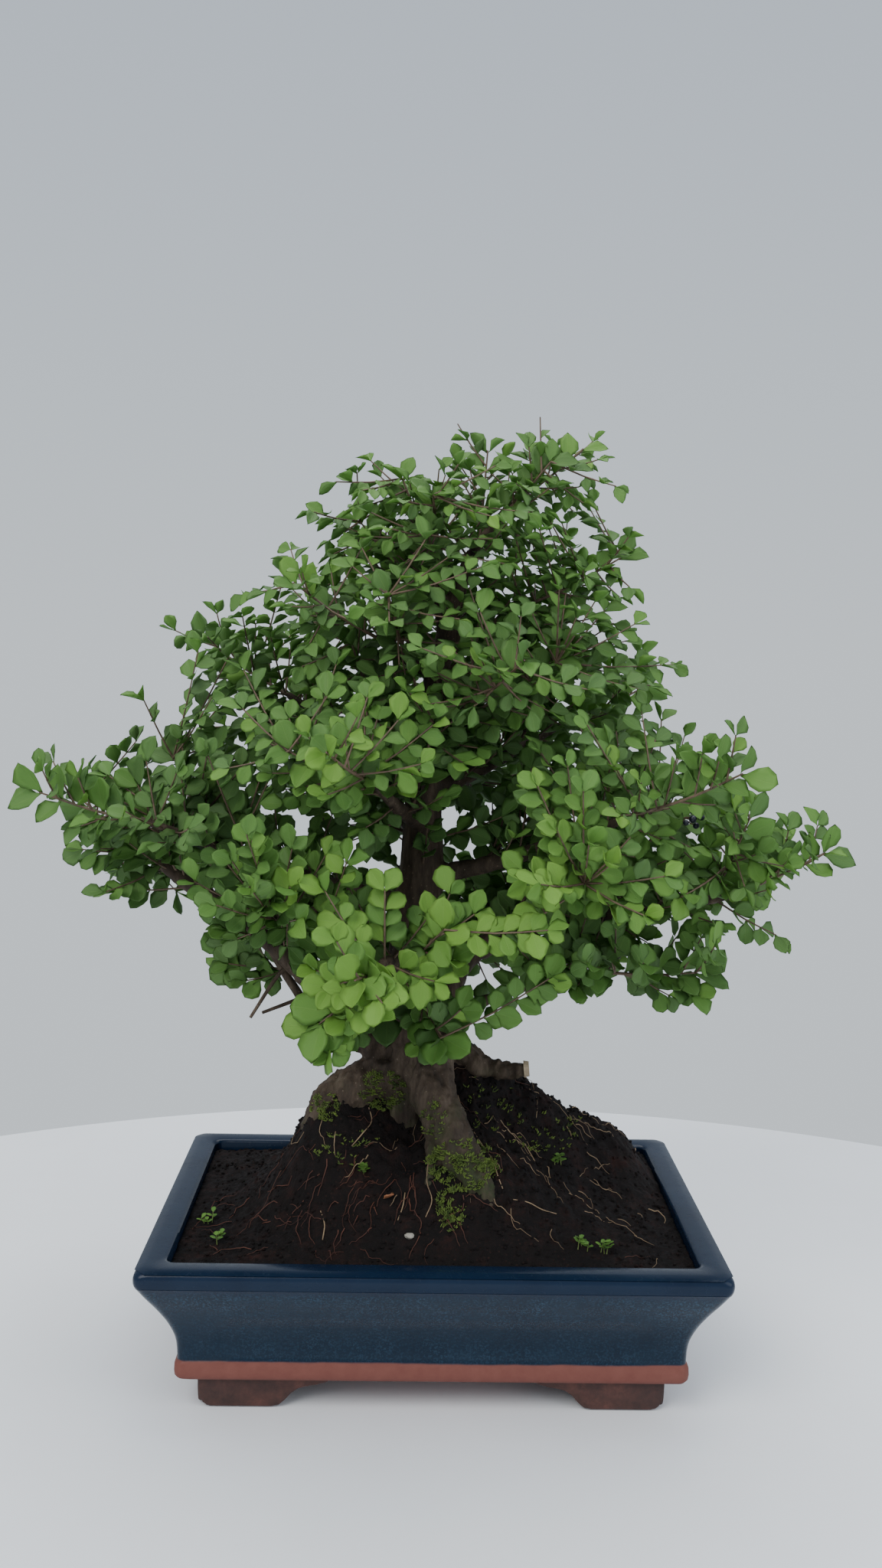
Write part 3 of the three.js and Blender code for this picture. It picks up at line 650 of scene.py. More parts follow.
wood = {
    "trunk": [
        (-10, 14, 84, 22), (-11, 13, 112, 24), (-13, 12, 140, 23), (-16, 10, 168, 19.5), (-16, 9, 190, 17),
        (-14, 8, 215, 15), (-11, 8, 250, 13.2), (-10, 8, 290, 11.4), (-10, 9, 325, 9.6), (-7, 10, 360, 7.8),
        (0, 11, 395, 6.2), (7, 11, 424, 4.8), (14, 10, 446, 3.4)],
    "roots": [
        [(-14, 8, 158, 18), (-34, 3, 150, 14), (-50, 0, 143, 12.5), (-61, -3, 132, 11), (-66, -6, 116, 8.5),
         (-68, -9, 100, 5)],
        [(-6, -2, 166, 15), (0, -18, 147, 13), (8, -30, 130, 11.5), (18, -38, 114, 10), (28, -46, 97, 7.5),
         (36, -53, 78, 4.5)],
        [(0, -26, 128, 5), (-2, -40, 108, 3.4), (-5, -50, 90, 2.6), (-7, -56, 72, 2)],
        [(4, 16, 168, 11), (22, 14, 157, 8), (38, 11, 153, 5.6), (52, 8, 155, 4.6)],
        [(2, 20, 146, 16), (32, 28, 128, 11), (64, 36, 110, 7), (94, 46, 84, 4)],
        [(-8, 22, 158, 16), (-6, 44, 134, 12), (0, 62, 108, 9), (8, 76, 78, 6)]],
    "bareTwigs": [
        [(-80, -12, 218, 1.4), (-88, -14, 212, 1.2), (-102, -20, 190, 0.9)],
        [(-62, -8, 206, 1.4), (-74, -12, 200, 1.2), (-95, -24, 194, 0.9)],
        [(-40, 0, 176, 3.4), (-66, -6, 187, 2.8), (-80, -10, 206, 2.4), (-92, -12, 226, 2)]],
    "voxel": 1.4,
    "scars": [(-24, -8, 209, 7), (-13, -8, 232, 6), (-6, -8, 205, 3.5), (-30, -6, 168, 8), (-3, -10, 186, 4)],
}
# Each low limb: how many sprays, where the first one grows, their length and rise, and the limb's points
lowLimbs = {
    "leftLow": (7, 0.3, 56, 36, [
        (-22, 6, 162, 10), (-40, 0, 174, 8.6), (-56, -7, 193, 7.4), (-76, -12, 216, 6.6),
        (-104, -15, 242, 5.6), (-134, -11, 259, 4.6), (-154, -4, 272, 3.4), (-164, 0, 278, 2.4)]),
    "rightLow": (7, 0.32, 56, 26, [
        (-2, 14, 168, 9.5), (6, 21, 190, 8), (14, 24, 212, 7.2), (34, 22, 226, 6.2), (70, 12, 240, 5.2),
        (110, 4, 249, 4.2), (146, -4, 256, 3), (162, -8, 260, 2.2)]),
    "rightSprig": (2, 0.55, 50, -6, [
        (10, 20, 186, 3.2), (38, 8, 198, 2.6), (70, -2, 211, 2.2), (94, -8, 216, 1.8)]),
    "frontLow": (3, 0.4, 52, 0, [
        (-14, 0, 206, 7), (-20, -32, 222, 5.4), (-26, -58, 231, 3.8), (-30, -76, 234, 2.2)]),
    "leaderLeft": (3, 0.3, 48, 68, [(0, 11, 398, 4.2), (-5, 8, 430, 3.2), (-7, 5, 464, 2)]),
    "leaderRight": (3, 0.3, 48, 54, [(12, 10, 440, 3.4), (22, 9, 456, 2.8), (34, 8, 472, 2)]),
}
crown = {
    "limbs": 11, "spiralStart": 196, "spiralTurn": 137.5, "lowest": 246, "highest": 408, "steepness": 0.42,
    "sway": 0.12, "tipRadius": 2, "shortest": 26, "endShare": 0.8, "sprayLength": 58, "threeBeyond": 74,
    "curve": [(0, 0), (0.34, 0.26), (0.7, 0.66), (1, 1)], "lowRise": 16, "topRise": 48, "depthShare": 0.68,
    "outline": [(200, 150), (280, 212), (330, 184), (370, 146), (411, 112), (454, 96), (495, 58), (520, 20)],
    "leafOutline": [(200, 60, 120), (245, 190, 222), (285, 208, 206), (325, 188, 162), (370, 150, 140),
                    (411, 122, 108), (454, 84, 102), (495, 44, 86), (520, 20, 60)],
    "underside": [(-217, 277), (-180, 230), (-146, 243), (-116, 234), (-74, 226), (-40, 204), (0, 196),
                  (27, 190), (52, 202), (94, 206), (124, 214), (157, 238), (191, 232), (212, 248)],
    "gapTries": 2200, "gapFree": 9.2, "gapLow": 205, "gapHigh": 480, "gapNear": 5, "gapFar": 58,
    "gapPairEvery": 7, "gapSize": 0.76, "gapFrontShare": 0.84,
    "window": (-46, 44, 330),
}


def valueAt(rows, place, column=1):  # between rows that each hold a place and its values
    i = max(next((n for n, row in enumerate(rows) if row[0] >= place), len(rows) - 1), 1)
    low, high = rows[i - 1], rows[i]
    return low[column] + (high[column] - low[column]) * clamp((place - low[0]) / (high[0] - low[0]))


def crownReach(z, x, y):  # how far sprays reach at a height, along a level unit way out
    return valueAt(crown["outline"], z) / math.hypot(x, y / crown["depthShare"])


def leafReach(z, x, y):  # the same for leaves, whose outline differs between left and right
    return valueAt(crown["leafOutline"], z, 1 if x < 0 else 2) / math.hypot(x, y / crown["depthShare"])


def undersideAt(x):
    return valueAt(crown["underside"], x)


def makeUpperLimbs():
    made = {}
    stem = wood["trunk"]
    for i in range(crown["limbs"]):
        share = i / (crown["limbs"] - 1)
        startZ = crown["lowest"] + (crown["highest"] - crown["lowest"]) * share
        t = next(n / 200 for n in range(201) if pointOn(stem, n / 200).z >= startZ)
        turn = math.radians(crown["spiralStart"] + crown["spiralTurn"] * i)
        out = Vector((math.cos(turn), math.sin(turn), 0))
        aside = Vector((-out.y, out.x, 0)) * crown["sway"] * (draw(i, 90, 0) - 0.5)
        root = pointOn(stem, t)
        rise = crown["steepness"] * (0.8 + 0.5 * share)
        room = crownReach(startZ + 40 + 30 * share, out.x, out.y) - crown["endShare"] * crown["sprayLength"]
        reach = max(room, crown["shortest"])
        start = root.w * 0.42 + 0.8
        points = []
        for u, lift in crown["curve"]:
            p = root.xyz + out * reach * u + aside * reach * math.sin(math.pi * u)
            points.append((p.x, p.y, p.z + rise * reach * lift, start + (crown["tipRadius"] - start) * u))
        sprays = 3 if reach > crown["threeBeyond"] else 2
        first = 0.24 if sprays == 3 else 0.5
        sprayRise = crown["lowRise"] + (crown["topRise"] - crown["lowRise"]) * share
        made[f"upper{i + 1:02d}"] = (sprays, first, crown["sprayLength"], sprayRise, points)
    return made


limbs = {**lowLimbs, **makeUpperLimbs()}


def sampled(rows, step):
    count = max(int(lengthOf(rows) / step), 2)
    return [tuple(pointOn(rows, n / count)) for n in range(count + 1)]


def barkLift(p):  # how far the bark stands out at a point, in millimetres
    old = 1 - smoothStep(p.z, 165, 260)
    lift = noise.fractal(Vector((p.x / 9, p.y / 9, p.z / 26)), 0.8, 2.1, 4) * (0.5 + 1.5 * old)
    lift += noise.fractal(p / 3.2, 0.8, 2.1, 3) * (0.16 + 0.55 * old)
    lift -= smoothStep(noise.noise(Vector((p.x / 3.4, p.y / 3.4, p.z / 19))), 0.1, 0.5) * (0.3 + 0.9 * old)
    for x, y, z, size in wood["scars"]:
        away = (p - Vector((x, y, z))).length
        if away < size * 3:
            ridge = 2.0 * math.exp(-((away - size) / (size * 0.36)) ** 2)
            hollow = 3.0 * math.exp(-(away / (size * 0.6)) ** 2)
            lift += ridge - hollow
    return lift


def makeWood():
    lines = [sampled(wood["trunk"], 6)] + [sampled(rows, 5) for rows in wood["roots"]]
    lines += [sampled(rows, 6) for _, _, _, _, rows in limbs.values()]
    obj = tubes("trunk_and_limbs", lines, 5, trunkBark)
    remesh = obj.modifiers.new("oneSkin", "REMESH")
    remesh.mode = "VOXEL"
    remesh.voxel_size = wood["voxel"] * mm
    remesh.use_smooth_shade = True
    relax = obj.modifiers.new("softJoins", "SMOOTH")
    relax.factor = 0.5
    relax.iterations = 4
    applyModifiers(obj)
    bm = bmesh.new()
    bm.from_mesh(obj.data)
    bm.normal_update()
    moved = [(vert, vert.co + vert.normal * barkLift(vert.co / mm) * mm) for vert in bm.verts]
    for vert, place in moved:
        vert.co = place
    for face in bm.faces:
        face.smooth = True
    bm.to_mesh(obj.data)
    bm.free()
    obj.data.materials.clear()
    obj.data.materials.append(trunkBark)
    bare = tubes("bareTwigs", [sampled(rows, 4) for rows in wood["bareTwigs"]], 2, trunkBark)
    return joinInto(obj, bare)


trunkAndLimbs = keep(makeWood())
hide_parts("wood")
print("wood made:", len(trunkAndLimbs.data.polygons), "faces")


# Leaves

leaf = {
    "pairs": [0.22, 0.41, 0.6, 0.79, 0.97], "length": 17.5, "widthShare": 0.74,
    "spread": 55, "spreadVariety": 26, "sunk": 0.42, "faceOut": 0.8, "faceVariety": (0.9, 0.9, 0.7),
    "lengthVariety": 0.28, "lowest": 200, "highest": 460,
    "turns": [0, 24, -24, 48, -48, 75], "twigBends": [0, 14, -14, 28, -28, 42, -42], "sidewaysBend": 0.7,
    "twigLift": 0.12, "solidTwig": (1.9, 1.1), "thickness": 0.38, "least": 4.2, "cell": 10,
    "middle": 0.55, "cuppedShare": 0.16,
}
# inner and left darken the leaves' age tone, which adds painted shade inside the crown and on its left side
leafTones = {"middle": 0.5, "innerAgeAndShade": 0.3, "front": 0.46, "tip": 0.16, "left": 0.12, "variety": 0.15}
spray = {
    "swing": [24, -46, 32, -8], "leastTurn": 36, "turnSpread": 26, "liftSpread": 14, "lengthSpread": 0.2,
    "hanging": {"trunkFront": ((-14, -2, 208), (0.26, -0.86, -0.44), 58),
                "trunkLeft": ((-22, 2, 190), (-0.5, -0.84, 0.05), 52)},
    "twigRadius": (1.05, 0.5), "thinTwig": (0.62, 0.36), "firstPair": 0.3, "pairRange": 0.68,
    "pairTurn": 30, "pairCross": 40, "levelling": (0.3, 1), "leafScale": (0.8, 1.05),
    "sideTwigs": [0.2, 0.36, 0.52, 0.68, 0.84], "sideLength": (16, 27), "sideSize": 0.74,
    "fillEvery": 8.5, "fillLength": (24, 44), "fillSize": 0.78,
    "trunkTwigs": 34, "trunkTwigLength": (26, 46), "seed": 23,
}
leafShapes = {  # widest place along the blade, how blunt the tip is, fold, curl
    "round": (0.56, 0.62, 0.1, 0.05),
    "oval": (0.5, 0.78, 0.14, -0.08),
    "pointed": (0.44, 0.98, 0.18, -0.12),
    "cupped": (0.5, 0.8, 0.24, 0.16),
}


def bladeHalf(u, widest, blunt):  # half the width of the blade at u along it
    if u <= 0.09:
        return 0.03
    s = (u - 0.09) / 0.91
    power = math.log(0.5) / math.log(widest)
    return max(0.5 * math.sin(math.pi * s ** power) ** blunt, 0.03 * (1 - s))


def makeBlade(name, widest, blunt, fold, curl):
    bm = bmesh.new()
    uvLayer, tintLayer = bm.loops.layers.uv.new("blade"), bm.loops.layers.float_color.new("tint")
    stations = [0, 0.13, 0.36, 0.62, 0.87, 1.0]
    steps = len(stations) - 1
    bmesh.ops.create_grid(bm, x_segments=steps, y_segments=4, size=0.5)
    for face in bm.faces:
        face.smooth = True
        for loop in face.loops:
            loop[uvLayer].uv = (stations[round((loop.vert.co.x + 0.5) * steps)], loop.vert.co.y + 0.5)
    for vert in bm.verts:
        u = stations[round((vert.co.x + 0.5) * steps)]
        v = vert.co.y * 2
        half = bladeHalf(u, widest, blunt) if u < 1 else 0
        lift = fold * abs(v) ** 1.3 * half * 2 + curl * u * u + 0.03 * math.sin(u * 9 + v * 2) * abs(v)
        vert.co = (u, math.copysign(abs(v) ** 0.9, v) * half, lift)
    under = bmesh.ops.duplicate(bm, geom=list(bm.verts) + list(bm.edges) + list(bm.faces))["geom"]
    underFaces = [e for e in under if isinstance(e, bmesh.types.BMFace)]
    bmesh.ops.reverse_faces(bm, faces=underFaces)
    for face in underFaces:
        for loop in face.loops:
            loop[tintLayer] = (0, 0, 1, 1)
    for vert in (e for e in under if isinstance(e, bmesh.types.BMVert)):
        if not vert.is_boundary:
            vert.co.z -= leaf["thickness"] / leaf["length"]
    bmesh.ops.remove_doubles(bm, verts=bm.verts, dist=1e-5)
    mesh = bpy.data.meshes.new(name)
    bm.to_mesh(mesh)
    bm.free()
    return mesh


bladeMeshes = {name: makeBlade(name, *shape) for name, shape in leafShapes.items()}


def emptyLeaves():  # a bmesh that holds one blade of each shape to copy
    bm = bmesh.new()
    shapes = {}
    for name, mesh in bladeMeshes.items():
        counts = len(bm.verts), len(bm.edges), len(bm.faces)
        bm.from_mesh(mesh)
        shapes[name] = []
        for parts, count in zip((bm.verts, bm.edges, bm.faces), counts):
            parts.ensure_lookup_table()
            shapes[name] += parts[count:]
    return bm, shapes


def dropPatterns(bm, shapes):
    corners = [e for shape in shapes.values() for e in shape if isinstance(e, bmesh.types.BMVert)]
    bmesh.ops.delete(bm, geom=corners, context="VERTS")


def twigLine(root, direction, length, radii=leaf["solidTwig"]):
    rows = []
    for t in (0, 0.5, 1):
        p = root + direction * length * t + Vector((0, 0, leaf["twigLift"] * length * t * t))
        rows.append((p.x, p.y, p.z, radii[0] + (radii[1] - radii[0]) * t))
    return rows


def highShare(point):  # 0 at the crown's foot and 1 at its top
    return clamp((point.z - leaf["lowest"]) / (leaf["highest"] - leaf["lowest"]))


def leafPose(k, n, line, t, hand, turn, level=0.0):  # level turns the blades of the higher twigs to the sky
    ahead = headingOn(line, t)
    at = pointOn(line, t)
    root = at.xyz
    high = highShare(root)
    face = Vector((root.x / 240, root.y / 160, 0.25 + 0.5 * high + level * (0.25 + 1.0 * high)))
    faceOut = leaf["faceOut"] * (1 - level * (0.15 + 0.7 * high))
    face.y += faceOut if root.y > wood["trunk"][0][1] else -faceOut
    for axis in range(3):
        face[axis] += leaf["faceVariety"][axis] * (draw(k, n, 4 + axis) - 0.5)
    side = ahead.cross(face).normalized() * hand
    spread = leaf["spread"] + leaf["spreadVariety"] * (draw(k, n, 7) - 0.5)
    spread = math.radians(spread * (0.7 if t > 0.9 else 1))  # the last pair closes towards the tip
    along = ahead * math.cos(spread) + side * math.sin(spread)
    roll = Matrix.Rotation(math.radians(turn), 3, ahead)
    along, face = roll @ along, roll @ face
    face = (face - along * face.dot(along)).normalized()
    root = root + along * leaf["sunk"] * at.w
    length = leaf["length"] * (1.12 - 0.24 * high) * (1 + leaf["lengthVariety"] * (draw(k, n, 8) - 0.5))
    return root, along, face, length, length * leaf["widthShare"] * (1.1 - 0.2 * high)


def sprayStarts():
    starts = []
    for limbName, (sprays, first, reach, rise, points) in limbs.items():
        for j in range(sprays):
            k = len(starts)
            last = j == sprays - 1
            t = 0.97 if last else first + (1 - first) * j / (sprays - 1)
            ahead = headingOn(points, t)
            aside = spray["leastTurn"] + spray["turnSpread"] * draw(k, 0, 1)
            turn = 0 if last else (-1 if j % 2 else 1) * aside
            swing = -0.4 * rise if last else spray["swing"][k % 4]
            lift = math.radians(rise + swing + spray["liftSpread"] * (draw(k, 0, 2) - 0.5))
            flat = Vector((ahead.x, ahead.y, 0)).normalized()
            flat.rotate(Matrix.Rotation(math.radians(turn), 3, "Z"))
            direction = flat * math.cos(lift) + Vector((0, 0, math.sin(lift)))
            length = reach * (1 + spray["lengthSpread"] * (draw(k, 0, 3) - 0.5))
            starts.append((limbName, f"spray_{limbName}_{j + 1}", pointOn(points, t).xyz, direction, length))
    for name, (root, direction, length) in spray["hanging"].items():
        starts.append((name, f"spray_{name}", Vector(root), Vector(direction).normalized(), length))
    return starts


def treeOf(node):
    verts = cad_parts[node].data.vertices
    tree = kdtree.KDTree(len(verts))
    for i, vert in enumerate(verts):
        tree.insert(vert.co / mm, i)
    tree.balance()
    return tree


def twigAsBuilt(tree, root, direction, length):  # the bend whose tip lies nearest to the solid's own
    best = None
    for bend in leaf["twigBends"]:
        flat = Vector((-direction.y, direction.x, 0)).normalized()
        turned = Matrix.Rotation(math.radians(bend), 3, flat) @ direction
        turned = Matrix.Rotation(math.radians(bend * leaf["sidewaysBend"]), 3, "Z") @ turned
        line = twigLine(root, turned, length)
        away = abs(tree.find(pointOn(line, 1).xyz)[2] - leaf["solidTwig"][1])
        if best is None or away < best[0] - 0.05:
            best = (away, line)
    return best[1]


def cellOf(point):
    return tuple(int(c // leaf["cell"]) for c in point)


class Crown:  # what is already placed, so that new leaves keep clear of it
    def __init__(self):
        self.centres = {}
        self.count = 0
        self.twigs = []

    def isFree(self, point, least):
        x, y, z = cellOf(point)
        for i in (-1, 0, 1):
            for j in (-1, 0, 1):
                for h in (-1, 0, 1):
                    for other in self.centres.get((x + i, y + j, z + h), ()):
                        if (other - point).length < least:
                            return False
        return True

    def add(self, point):
        self.centres.setdefault(cellOf(point), []).append(point)
        self.count += 1


crownLeaves = Crown()
boxLow, boxHigh = (corner / mm for corner in cadBox)


def insideBox(point, spare=0.0):
    return all(boxLow[i] - spare < point[i] < boxHigh[i] + spare for i in range(3))


def leafAgeAndPaintedShade(point, tipShare, rng):  # young and bright at low front and tips; old and dark inside, with painted shade deep and low in the crown and on its left side
    front = smoothStep(-point.y, 20, 100) * (1 - smoothStep(point.z, 280, 430))
    front *= 1 - 0.8 * smoothStep(abs(point.x + 5), 40, 120)
    reach = Vector((point.x / 200, point.y / 130)).length
    # darker deep inside and low in the crown, lighter towards the top: older inner leaves and painted shade
    innerAgeAndShade = 1 - clamp(reach + smoothStep(point.z, 320, 500) * 0.6)
    # painted shade: the leaves on the left side of the crown are darkened
    left = smoothStep(-point.x, 60, 140) * leafTones["left"]
    ageAndPaintedShade = leafTones["middle"] + leafTones["innerAgeAndShade"] * innerAgeAndShade - leafTones["front"] * front
    ageAndPaintedShade = ageAndPaintedShade - leafTones["tip"] * tipShare + left + rng.gauss(0, leafTones["variety"])
    return clamp(ageAndPaintedShade, 0.02, 0.98)


def placeBlade(bm, shape, pose, ageAndPaintedShade, shade):
    root, along, face, length, width = pose
    turn = Matrix((along * length, face.cross(along) * width, face * length)).transposed().to_4x4()
    place = Matrix.Translation(root * mm) @ Matrix.Scale(mm, 4) @ turn
    made = bmesh.ops.duplicate(bm, geom=shape)["geom"]
    bmesh.ops.transform(bm, matrix=place, verts=[e for e in made if isinstance(e, bmesh.types.BMVert)])
    tintLayer = bm.loops.layers.float_color["tint"]
    for face in (e for e in made if isinstance(e, bmesh.types.BMFace)):
        for loop in face.loops:
            loop[tintLayer] = (ageAndPaintedShade, shade, loop[tintLayer][2], 1)


def putLeaf(bm, shapes, pose, tipShare, rng, least=None):
    root, along, _, length, _ = pose
    tip = root + along * length
    centre = root + along * length * leaf["middle"]
    if not insideBox(tip) or not insideBox(centre):
        return False
    if least is not None and not crownLeaves.isFree(centre, least):
        return False
    crownLeaves.add(centre)
    high = highShare(root)
    pick = rng.random()
    name = "round" if pick > 0.25 + 0.75 * high else "oval" if pick > 0.5 * high else "pointed"
    if rng.random() < leaf["cuppedShare"]:
        name = "cupped"
    placeBlade(bm, shapes[name], pose, leafAgeAndPaintedShade(centre, tipShare, rng), rng.random())
    return True


def leafyTwig(bm, shapes, lines, root, direction, length, pairs, size, rng, seed):
    line = twigLine(root, direction, length, spray["thinTwig"])
    grown = 0
    for pair in range(pairs):
        t = spray["firstPair"] + spray["pairRange"] * pair / max(pairs - 1, 1)
        turn = rng.uniform(-spray["pairTurn"], spray["pairTurn"]) + (spray["pairCross"] if pair % 2 else 0)
        for hand in (1, -1):
            at, along, face, long, wide = leafPose(seed, pair * 2 + (hand < 0), line, t, hand, turn * hand,
                                                   rng.uniform(*spray["levelling"]))
            scale = size * rng.uniform(*spray["leafScale"])
            pose = (at, along, face, long * scale, wide * scale)
            grown += putLeaf(bm, shapes, pose, t * 0.8, rng, leaf["least"])
    if grown:
        lines.append([tuple(pointOn(line, n / 4)) for n in range(5)])
        crownLeaves.twigs += [pointOn(line, n / 4).xyz for n in range(5)]


# How much of a limb, from its foot, carries no leaves
bareShare = {"rightSprig": 0.62, "leftLow": 0.46, "rightLow": 0.42}


def gapTwigs(groups, pieces, rng):  # twigs that reach into the empty places of the crown
    homes, points = [], []
    for limbName, (_, _, _, _, rows) in limbs.items():
        first = bareShare.get(limbName, 0.25)
        for n in range(41):
            t = first + (1 - first) * n / 40
            homes.append(limbName)
            points.append(pointOn(rows, t).xyz)
    for limbName, members in pieces.items():
        for _, _, _, line in members:
            for n in range(1, 9):
                homes.append(limbName)
                points.append(pointOn(line, n / 8).xyz)
    for n in range(41):
        homes.append("upper06")
        points.append(pointOn(wood["trunk"], 0.5 + 0.0125 * n).xyz)
    tree = kdtree.KDTree(len(points))
    for i, point in enumerate(points):
        tree.insert(point, i)
    tree.balance()
    for n in range(crown["gapTries"]):
        z = rng.uniform(crown["gapLow"], crown["gapHigh"])
        turn = rng.uniform(0, 2 * math.pi)
        x, y = math.cos(turn), math.sin(turn)
        reach = leafReach(z, x, y) * math.sqrt(rng.uniform(0.1, 0.95))
        reach *= crown["gapFrontShare"] if y < -0.3 else 1
        target = Vector((x * reach, y * reach, z))
        left, right, top = crown["window"]  # a place before the trunk that these twigs leave open
        inWindow = target.y < 10 and left < target.x < right and z < top
        if z < undersideAt(target.x) + 6 or inWindow or not crownLeaves.isFree(target, crown["gapFree"]):
            continue
        root, i, away = tree.find(target)
        if not crown["gapNear"] < away < crown["gapFar"] or root.z > z + 18:
            continue
        bm, shapes, lines = groups[homes[i]]
        way = (target - root).normalized()
        pairs = max(2, int(away / crown["gapPairEvery"]))
        leafyTwig(bm, shapes, lines, root, way, away + 6, pairs, crown["gapSize"], rng, 20000 + n)


def makeFoliage():
    starts = sprayStarts()
    pieces = {}
    rng = random.Random(spray["seed"])
    for k, (limbName, node, root, direction, length) in enumerate(starts):
        tree = treeOf(node)
        line = twigAsBuilt(tree, root, direction, length)
        pieces.setdefault(limbName, []).append((k, node, tree, line))
    groups = {}
    for limbName, members in pieces.items():  # the solid sprays' own leaves come first
        bm, shapes = emptyLeaves()
        lines = []
        for k, node, tree, line in members:
            foot, tip = spray["twigRadius"]
            lines.append([(*pointOn(line, n / 6).xyz, foot + (tip - foot) * n / 6) for n in range(7)])
            for pair, t in enumerate(leaf["pairs"]):
                for hand in (1, -1):
                    best = None
                    for turn in leaf["turns"]:
                        pose = leafPose(k, pair * 2 + (hand < 0), line, t, hand, turn * hand)
                        away = tree.find(pose[0] + pose[1] * pose[3])[2]
                        if best is None or away < best[0] - 0.02:
                            best = (away, pose)
                    putLeaf(bm, shapes, best[1], t, rng, None if best[0] < 0.4 else leaf["least"])
        groups[limbName] = (bm, shapes, lines)
    print("solid sprays' leaves:", crownLeaves.count)
    for limbName, members in pieces.items():  # then side twigs on each spray
        bm, shapes, lines = groups[limbName]
        for k, node, tree, line in members:
            for n, t in enumerate(spray["sideTwigs"]):
                ahead = headingOn(line, t)
                face = Vector((rng.uniform(-1, 1), rng.uniform(-1, 1), rng.uniform(-0.4, 1))).normalized()
                aside = ahead.cross(face).normalized() * (1 if n % 2 else -1)
                way = (ahead * 0.75 + aside * 0.85 + Vector((0, 0, 0.15))).normalized()
                long = rng.uniform(*spray["sideLength"])
                root, seed = pointOn(line, t).xyz, 1000 + k * 8 + n
                leafyTwig(bm, shapes, lines, root, way, long, 3, spray["sideSize"], rng, seed)
    print("with side twigs:", crownLeaves.count)
    for limbName, (_, _, _, _, points) in limbs.items():  # and fill twigs along the limbs
        bm, shapes, lines = groups[limbName]
        count = int(lengthOf(points) / spray["fillEvery"])
        for n in range(count):
            t = 0.25 + 0.75 * (n + rng.random()) / count
            if t < bareShare.get(limbName, 0):
                continue
            at = pointOn(points, min(t, 1))
            ahead = headingOn(points, min(t, 1))
            around = Matrix.Rotation(n * 2.4 + rng.uniform(-0.5, 0.5), 3, ahead)
            aside = around @ ahead.orthogonal().normalized()
            way = (ahead * 0.6 + aside + Vector((0, 0, 0.3))).normalized()
            long = rng.uniform(*spray["fillLength"])
            if (at.xyz + way * long).z < undersideAt(at.x + way.x * long):
                continue
            seed = 3000 + crownLeaves.count
            leafyTwig(bm, shapes, lines, at.xyz, way, long, 4, spray["fillSize"], rng, seed)
    bm, shapes, lines = groups["upper06"]
    for n in range(spray["trunkTwigs"]):  # twigs on the upper trunk
        t = 0.5 + 0.5 * n / spray["trunkTwigs"]
        at = pointOn(wood["trunk"], t)
        around = Vector((math.cos(n * 2.4), math.sin(n * 2.4), rng.uniform(0.2, 0.9))).normalized()
        root, long = at.xyz + around * at.w * 0.8, rng.uniform(*spray["trunkTwigLength"])
        leafyTwig(bm, shapes, lines, root, around, long, 5, spray["fillSize"], rng, 9000 + n)
    print("with fill twigs:", crownLeaves.count)
    gapTwigs(groups, pieces, rng)
    print("with twigs in the gaps:", crownLeaves.count)
    for limbName, (bm, shapes, lines) in groups.items():
        dropPatterns(bm, shapes)
        obj = objectFrom(bm, f"foliage_{limbName}", privetLeaf)
        joinInto(obj, tubes("twigs", lines, 1, twigBark))
        keep(obj)
        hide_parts(*[node for _, node, _, _ in pieces[limbName]])


makeFoliage()
print("foliage made")


# Moss, rootlets and small plants on the soil, placed along lines of sight and resting where those meet it

ground = {
    "moss": [(605, 1522, 46, 34, 400), (588, 1580, 18, 28, 140), (500, 1424, 30, 26, 260),
             (424, 1446, 18, 20, 140), (566, 1465, 14, 30, 50), (712, 1478, 60, 26, 70),
             (640, 1440, 36, 40, 50), (455, 1500, 44, 24, 40)],
    "mossBlades": 5, "mossLength": (0.9, 2.6), "mossRadius": (0.34, 0.1),
    "paleRootlets": [
        [(617, 1476), (630, 1496), (644, 1517), (650, 1536), (657, 1553)],
        [(482, 1447), (485, 1465), (474, 1480), (459, 1497)],
        [(685, 1494), (692, 1506), (698, 1517)], [(670, 1567), (690, 1571), (708, 1580), (726, 1586)],
        [(529, 1558), (526, 1576), (520, 1594)], [(419, 1582), (424, 1600), (421, 1620)],
        [(762, 1478), (790, 1486), (822, 1482), (846, 1492)],
        [(740, 1500), (768, 1506), (800, 1500), (838, 1508)],
        [(560, 1518), (558, 1544), (564, 1568), (556, 1590)]],
    "scattered": [("pale_rootlets", 84, (18, -6, 46, 34)), ("red_rootlets", 110, (-46, -30, 46, 28))],
    "paleAside": (86, 10, 20, 26),
    "rootletLength": (5, 24), "rootletRadius": (0.14, 0.34), "rootletStep": 2.0,
    "weeds": [(475, 1535, 5), (345, 1490, 4), (730, 1525, 6), (788, 1635, 6), (285, 1620, 4), (762, 1632, 5),
              (270, 1600, 4), (868, 1500, 5)],
    "berries": (135.8, -20, 303.5), "berryRadius": 2.2,
    "berryPlaces": [(0, 0, 0), (4.2, -1, 1.4), (-1.6, 1.6, 4.6), (2.4, 2.4, -3.8), (-3.8, -0.6, -2)],
    "stone": (535, 1615, 2.6), "dryLeaf": (508, 1567),
    "cutEnd": [(50.5, 8.1, 155, 4.9), (53.6, 7.9, 155.3, 4.3)],
    "reachX": 131, "reachY": 81, "treeFoot": 190, "clearRim": 5,
    "mossSeed": 41, "rootletSeed": 52, "weedSeed": 63,
}
groundMesh = bmesh.new()
for carrier in (heapedSoil, trunkAndLimbs):
    groundMesh.from_mesh(carrier.data)
groundTree = BVHTree.FromBMesh(groundMesh)
groundMesh.free()


